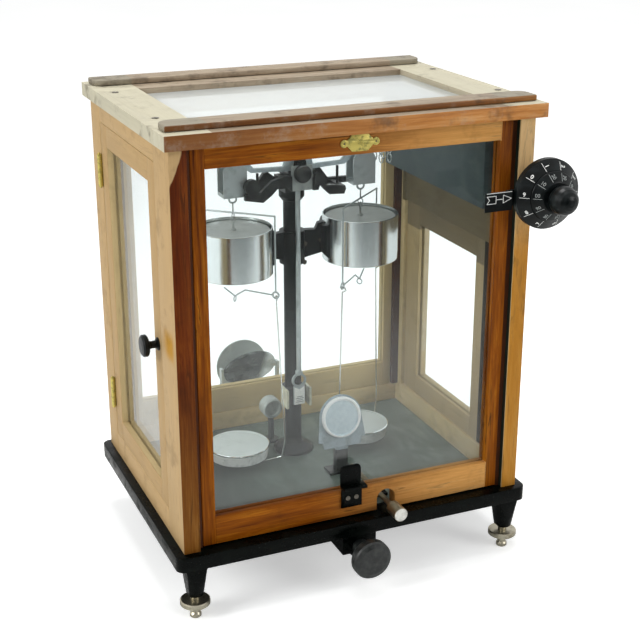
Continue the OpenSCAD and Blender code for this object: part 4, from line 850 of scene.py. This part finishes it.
def figure(words, size, place, reading, up, bold):
    """Number in millimetres, laid at a place with its reading and its up directions."""
    bpy.ops.object.text_add()
    piece = bpy.context.object
    piece.data.body, piece.data.size = words, size
    piece.data.align_x, piece.data.align_y = "CENTER", "CENTER"
    piece.data.extrude, piece.data.offset = FIGURE_HEIGHT, bold
    piece.data.resolution_u = 3
    only(piece)
    bpy.ops.object.convert(target="MESH")
    piece = bpy.context.object
    x, y = Vector(reading).normalized(), Vector(up).normalized()
    turn = Matrix((x, y, x.cross(y))).transposed().to_4x4()
    piece.matrix_world = Matrix.Scale(MM, 4) @ Matrix.Translation(place) @ turn
    return piece


# %% [markdown]
# ## Dial figures
# Each dial is a cone of ten steps. A number reads from the rim towards the axis, and its
# radial line lies below it at nine o'clock, where the arrow points. The set is made for
# nine o'clock and turned in steps of 36 degrees.

# %% Dial lines and numbers
DIAL_RIGHT, DIAL_AHEAD, DIAL_HEIGHT = 182.5, 190, 415
STEP = 36
LINE_WIDTH, LINE_LIFT, FIGURE_ABOVE = 0.42, 0.03, 3.3
AXIS = (MIDDLE + Vector((DIAL_RIGHT * MM, 0, 0))) / MM
AXIS.z = DIAL_HEIGHT
DIAL_FACE = MIDDLE.y / MM - DIAL_AHEAD


def on_cone(radius, front, step):
    """Point in millimetres on a dial's cone, a number of steps from nine o'clock."""
    turn = Matrix.Rotation(math.radians(STEP * step), 3, "Y")
    return Vector((AXIS.x, DIAL_FACE - front, AXIS.z)) + turn @ Vector((-radius, 0, 0))


def dial_marks(name, body, rim, inner, labels, size, finish, bold):
    """Lines and numbers between two (radius, distance to the front) of a cone."""
    parts = []
    for step, label in enumerate(labels):
        turn = Matrix.Rotation(math.radians(STEP * step), 3, "Y")
        slope = Vector((rim[0] - inner[0], -(inner[1] - rim[1]), 0))
        reading, up = turn @ slope, turn @ Vector((0, 0, 1))
        face = reading.normalized().cross(up) * LINE_LIFT
        a, b = on_cone(*rim, step) + face, on_cone(*inner, step) + face
        parts.append(stroke(a.lerp(b, 0.12), a.lerp(b, 0.92), face, LINE_WIDTH))
        middle = (a + b) / 2 + up * FIGURE_ABOVE
        parts.append(figure(label, size, middle, reading, up, bold))
    return settle(join(parts), name, finish, body)


outer_marks = dial_marks("outer_dial_marks", "hundreds_control", (34.5, -7.8), (25.4, 0.0),
                         [str((9 + k) % 10) for k in range(10)], 5.8, white_inlay, 0.14)
inner_marks = dial_marks("inner_dial_marks", "tens_control", (24.6, 1.6), (16.1, 7.9),
                         [f"{10 * k:02d}" for k in range(10)], 5.2, grey_inlay, 0.0)
print("dial marks:", len(outer_marks.data.vertices), len(inner_marks.data.vertices))

# %% [markdown]
# ## Arrow on the index plate
# A feathered arrow is drawn in outline and points at the dial, below one thin line. Each
# shape is a list of corners in millimetres from a point near the plate's left end, and a
# stroke is laid from every corner to the next, with the helper that made the dial lines.

# %% Arrow
PLATE_X, PLATE_Y, PLATE_Z = MIDDLE.x / MM + 112.6, MIDDLE.y / MM - 177.74, 414.0
tail = [(3.6, 3.7), (13.6, 3.7), (13.6, -3.7), (3.6, -3.7), (6.4, 0), (3.6, 3.7)]
head = [(21.7, 3.9), (30.9, 0), (21.7, -3.9), (21.7, 3.9)]
lines = [tail, head, [(13.6, 0), (21.7, 0)], [(3.4, 6.7), (30.9, 6.7)]]
ARROW_WIDTH = 0.55


def on_plate(corner):
    return PLATE_X + corner[0], PLATE_Y, PLATE_Z + corner[1]


arrow_parts = [stroke(on_plate(a), on_plate(b), FORWARD, ARROW_WIDTH)
               for line in lines for a, b in zip(line, line[1:])]
settle(join(arrow_parts), "index_arrow", white_inlay, "case")
print("arrow strokes:", len(arrow_parts))

# %% [markdown]
# ## Small metal things
# Screws hold the damper bracket to the pillar. The brass plate on the sash has a small
# pressed rosette in its middle and is otherwise left blank. Both are turned or pressed
# round pieces: a cylinder is inset and its middle pushed in or out.


# %% Round heads
def round_head(place, radius, height, axis, sides=32, step=0.45, dish=0.3):
    """Low round head in millimetres at a place, whose middle is inset and pushed in."""
    bpy.ops.mesh.primitive_cylinder_add(vertices=sides, radius=radius, depth=height)
    piece = bpy.context.object
    select_nothing(piece)
    max(piece.data.polygons, key=lambda p: p.center.z).select = True
    bpy.ops.object.mode_set(mode="EDIT")
    bpy.ops.mesh.inset(thickness=radius * step)
    bpy.ops.mesh.extrude_region_move(
        TRANSFORM_OT_translate={"value": (0, 0, -height * dish)})
    bpy.ops.object.mode_set(mode="OBJECT")
    turn = Vector((0, 0, 1)).rotation_difference(Vector(axis)).to_matrix().to_4x4()
    piece.matrix_world = Matrix.Scale(MM, 4) @ Matrix.Translation(place) @ turn
    only(piece)
    bpy.ops.object.transform_apply(location=True, rotation=True, scale=True)
    round_edges(piece, 0.12, 1)
    return piece


BRACKET_Y, BRACKET_TURN, BRACKET_HALF = 38, math.radians(13.67), 4.9
heads = []
for x, z in ((12, 325.5), (29.5, 329), (11.5, 304.5)):
    y = BRACKET_Y - x * math.tan(BRACKET_TURN) - BRACKET_HALF
    heads.append(round_head(at(x, y, z) / MM, 3.0, 1.8, FORWARD, 6, dish=-0.4))
settle(join(heads), "bracket_screws", screw_steel, "case")
plate_relief = eased("name_plate", brass, 0.15)
print("name plate faces:", len(plate_relief.data.polygons))
settle(round_head(at(0, -136.3, 473) / MM, 2.6, 0.5, FORWARD, dish=0.6),
       "plate_rosette", brass, "front_sash")
print("screws:", len(heads))

# %% [markdown]
# ## Pans with a rim and a polished side
# A pan is spun from sheet: a raised bright rim runs round a matt disc, and a polished side
# goes down from the rim. The side is a cylinder whose caps are taken away and whose lower
# edge is drawn in. It is given a wall with Solidify. The disc is an inset cylinder.

# %% Pan sides and discs
ARM, BEAM_Y = 74, 20
SIDE_RADIUS, SIDE_DEPTH, SIDE_Z = 34.6, 12.6, 97.3
DISC_RADIUS, DISC_DEPTH, DISC_Z = 34.2, 2.0, 103.4
matt_disc = metal("matt_pan_disc", "DCE4E1", "BAC4C0", 0.3, 0.42, 0.0, 0.2, 60)
side_metal = metal("bright_pan_side", "FAFCFB", "8E9794", 0.9, 0.2, 0.0, 0.3, 28)


def pan_side(name, x, body):
    bpy.ops.mesh.primitive_cylinder_add(vertices=96, radius=SIDE_RADIUS,
                                        depth=SIDE_DEPTH, end_fill_type="NOTHING")
    piece = bpy.context.object
    select_nothing(piece, "VERT")
    for vertex in piece.data.vertices:
        vertex.select = vertex.co.z < 0
    bpy.ops.object.mode_set(mode="EDIT")
    bpy.ops.transform.resize(value=(0.945, 0.945, 1))
    bpy.ops.mesh.extrude_region_move(TRANSFORM_OT_translate={"value": (0, 0, -1.2)})
    bpy.ops.transform.resize(value=(0.95, 0.95, 1))
    bpy.ops.object.mode_set(mode="OBJECT")
    wall = piece.modifiers.new("wall", "SOLIDIFY")
    wall.thickness, wall.offset = 0.5, -1
    only(piece)
    bpy.ops.object.modifier_apply(modifier="wall")
    bpy.ops.object.shade_smooth_by_angle(angle=SHARP)
    place = at(x, BEAM_Y, SIDE_Z) / MM
    piece.matrix_world = Matrix.Scale(MM, 4) @ Matrix.Translation(place)
    return settle(piece, name, side_metal, body)


def pan_disc(name, x, body):
    piece = round_head(at(x, BEAM_Y, DISC_Z) / MM, DISC_RADIUS, DISC_DEPTH, (0, 0, 1),
                       96, 0.07, 0.35)
    return settle(piece, name, matt_disc, body)


for hand, x in (("left", -ARM), ("right", ARM)):
    pan_side(hand + "_pan_side", x, nodes[hand + "_pan"]["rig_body"])
    pan_disc(hand + "_pan_disc", x, nodes[hand + "_pan"]["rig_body"])

# %% [markdown]
# ## Scale in the pointer's frame
# The frame at the pointer's foot holds a small ivory scale. A cube is flattened, its top
# edge is split in the middle and pulled down to a notch, and dark lines are laid on it.

# %% Ivory scale
SCALE_PLACE, SCALE_SIZE, NOTCH = (0, 18.3, 151), (12.4, 0.9, 21.4), 0.16
SCALE_FRONT, MARK_WIDTH = 17.8, 0.55
ivory = inlay_finish("ivory_scale", "F4F5F0", "C9CCC4")
scale_ink = inlay_finish("scale_ink", "23282A", "4A5052")


def scale_plate():
    bpy.ops.mesh.primitive_cube_add(size=1)
    piece = bpy.context.object
    select_nothing(piece, "EDGE")
    for edge in piece.data.edges:
        a, b = (piece.data.vertices[v].co for v in edge.vertices)
        edge.select = a.z > 0 and b.z > 0 and a.x != b.x
    bpy.ops.object.mode_set(mode="EDIT")
    bpy.ops.mesh.subdivide(number_cuts=1)
    bpy.ops.object.mode_set(mode="OBJECT")
    for vertex in piece.data.vertices:
        if vertex.co.z > 0 and abs(vertex.co.x) < 0.01:
            vertex.co.z -= NOTCH
    piece.matrix_world = (Matrix.Scale(MM, 4) @ Matrix.Translation(at(*SCALE_PLACE) / MM)
                          @ Matrix.Diagonal((*SCALE_SIZE, 1)))
    only(piece)
    bpy.ops.object.transform_apply(location=True, rotation=True, scale=True)
    round_edges(piece, 0.2, 1)
    return settle(piece, "pointer_scale", ivory, "beam_assembly")


scale_plate()
marks = []
for height, reach in ((143.5, 4.6), (145.6, 3.2), (147.7, 4.6), (149.8, 3.2)):
    a, b = (at(x, SCALE_FRONT, height) / MM for x in (-reach, reach))
    marks.append(stroke(a, b, FORWARD, MARK_WIDTH))
settle(join(marks), "pointer_scale_lines", scale_ink, "beam_assembly")
print("scale lines:", len(marks))

# %% [markdown]
# ## Dress the CAD nodes
# What is not copied or replaced keeps its CAD mesh and only gets its finish.

# %% Finishes of the nodes
FINISHES = {
    "floor_slate": slate, "sash_guides": groove, "lid_glass": lid_pane,
    "fixing_screws": screw_steel, "hinge_leaves": brass, "pillar": casting,
    "pillar_head": casting, "bearing_cover": plate_and_boss, "damper_brackets": casting,
    "damper_cups": turned, "screen_stand": plate_and_leg, "screen": screen_white,
    "optical_carrier": carrier, "condenser": lens_and_stem, "arrest_bearings": enamel,
    "dial_bearing": enamel, "index_plate": plastic, "mechanism_cover": sheet,
    "ring_weight_loader": levers_and_rings, "mirror_bracket": grey_metal,
    "zero_bearing": enamel, "front_sash_glass": front_pane, "sash_screws": screw_steel,
    "rear_sash_glass": side_pane, "left_door_glass": side_pane, "left_door_knob": plastic,
    "left_door_leaves": brass, "right_door_glass": side_pane, "right_door_knob": plastic,
    "right_door_leaves": brass, "left_foot_screw": nickel, "right_foot_screw": nickel,
    "arrest_knob": knob_and_shaft, "arrest_arms": arms_and_rod, "pan_stops": wire_steel_painted_light,
    "beam": beam_metal_painted_light, "pointer": wire_steel_painted_light, "left_hanger": wire_steel_painted_light,
    "left_damper_bell": bell_metal, "left_pan": pan_metal, "right_hanger": wire_steel_painted_light,
    "right_damper_bell": bell_metal, "right_pan": pan_metal, "hundreds_dial": plastic,
    "tens_dial": plastic, "zero_knob": nickel_knob, "rear_mirror": mirror_glass,
}
for node, finish in FINISHES.items():
    for number in range(len(nodes[node].data.materials)):
        nodes[node].data.materials[number] = finish
print("nodes with their own mesh:", len(FINISHES))

# %% [markdown]
# ## Floor, light and camera
# A product shot: a white sheet under the object, a large soft lamp on the left, a weaker
# one in front, and a white surround. Seen in reflections, the sheet is painted dark from
# half a metre in front of the case, a painted reflection of a dark room, which is why the
# upper part of the front pane looks clear while its lower part shows a pale reflection.


# %% White sheet
SHEET = Vector((-5, -2.4, 0)), Vector((5, 9, 0))


def studio_floor():
    """Sheet that is white to the camera and fades in reflections towards the front."""
    bpy.ops.mesh.primitive_plane_add(size=1)
    piece = bpy.context.object
    piece.name = "studio_floor"
    low, high = SHEET
    for vertex in piece.data.vertices:
        vertex.co = [low[k] + (vertex.co[k] + 0.5) * (high[k] - low[k]) for k in range(3)]
    f = Finish("white_sheet")
    where = f.place()
    seen = f.node("LightPath", output="Is Camera Ray")
    mirrored = f.node("LightPath", output="Is Glossy Ray")
    # Painted reflection: to reflections, the sheet turns dark from 0.55 m in front.
    near = f.span(f.axis(where, "Y") * -1.0, 0.55, 1.15)
    paper = f.ramp(f.noise(where, 3, 2), (0.3, tone("F1F3F2")), (0.7, tone("F6F7F6")))
    white = f.node("BsdfDiffuse", {}, {
        "Color": f.mix(mirrored * near * 0.9, paper, tone("202423"))})
    far = f.span(f.axis(where, "Y"), 0.8, 3.0)
    glow = f.node("Emission", {}, {
        "Color": (1, 1, 1, 1), "Strength": seen * (far * 0.15 + 0.45)})
    f.node("OutputMaterial", {}, {"Surface": f.node("AddShader", {}, {0: white, 1: glow})})
    piece.data.materials.append(f.material)


studio_floor()

# %% [markdown]
# ## The surround
# White walls and lamps show up as patches in glass and metal. They could be built as
# planes, but a world shader can tell the kinds of rays apart. The world is white to the
# camera and through glass. A reflection sees a room instead: white behind the case, dark in
# front, with bright patches at both sides and above. All other rays get one plain level,
# which fills the shadows.


# %% Surround
class World(Finish):
    """The surround is built with the same node kit."""

    def __init__(self):
        world = bpy.data.worlds.new("studio")
        bpy.context.scene.world = world
        world.use_nodes = True
        self.material, self.tree = world, world.node_tree
        self.tree.nodes.clear()


w = World()
way = w.node("TexCoord", output="Generated")
side, depth, height = (w.axis(way, k) for k in "XYZ")
behind = w.span(depth, -0.2, 0.2)
left_box = w.span(side * -1.0, 0.6, 0.75) * w.span(height, -0.2, 0.0)
right_box = w.span(side, 0.45, 0.8)
above = w.span(height, 0.25, 0.7)
room = 0.02 + 0.85 * left_box + 0.6 * right_box + 0.8 * above
mirrored = behind + (1 - behind) * w.maths("MINIMUM", room, 1.0)
straight = w.maths("MAXIMUM", w.node("LightPath", output="Is Camera Ray"),
                   w.node("LightPath", output="Is Transmission Ray"))
glossy = w.node("LightPath", output="Is Glossy Ray")
FILL = 0.40
level = straight + (1 - straight) * (glossy * mirrored + (1 - glossy) * FILL)
w.node("OutputWorld", {}, {"Surface": w.node("Background", {}, {
    "Color": (1, 1, 1, 1), "Strength": level})})
bpy.context.scene.view_settings.view_transform = "Standard"

# %% [markdown]
# ## Lamps and the camera
# Three round lamps look at one point inside the case. They are large, because a large lamp
# gives soft shadows and broad highlights. The camera stands a little above the lid, in
# front of the case and to the left. Its place and its turn were found by fitting the edges
# of the case, base and lid, which is more exact than moving it by eye.


# %% Lamps and camera
AIM = 0, 0, 0.2


def lamp(name, place, size, power):
    data = bpy.data.lights.new(name, "AREA")
    data.shape, data.size, data.energy = "DISK", size, power
    piece = bpy.data.objects.new(name, data)
    bpy.context.scene.collection.objects.link(piece)
    piece.location = place
    piece.rotation_euler = (Vector(AIM) - Vector(place)).to_track_quat("-Z", "Y").to_euler()


lamp("key_left", (-2.5, -0.4, 1.5), 1.2, 38)
lamp("fill_right", (1.7, -2.1, 1.2), 1.4, 24)
lamp("top", (0.1, 0.2, 2.4), 1.2, 30)

CAMERA_PLACE, CAMERA_TURN = (-513.2, -1229.3, 740.7), (69.71, 0.0, -23.34)
camera_data = bpy.data.cameras.new("camera")
camera_data.lens, camera_data.sensor_width = 73.0, 36.0
camera_piece = bpy.data.objects.new("camera", camera_data)
bpy.context.scene.collection.objects.link(camera_piece)
camera_piece.location = at(*CAMERA_PLACE)
camera_piece.rotation_euler = [math.radians(a) for a in CAMERA_TURN]
bpy.context.scene.camera = camera_piece
print("camera at", [round(v, 3) for v in camera_piece.location])
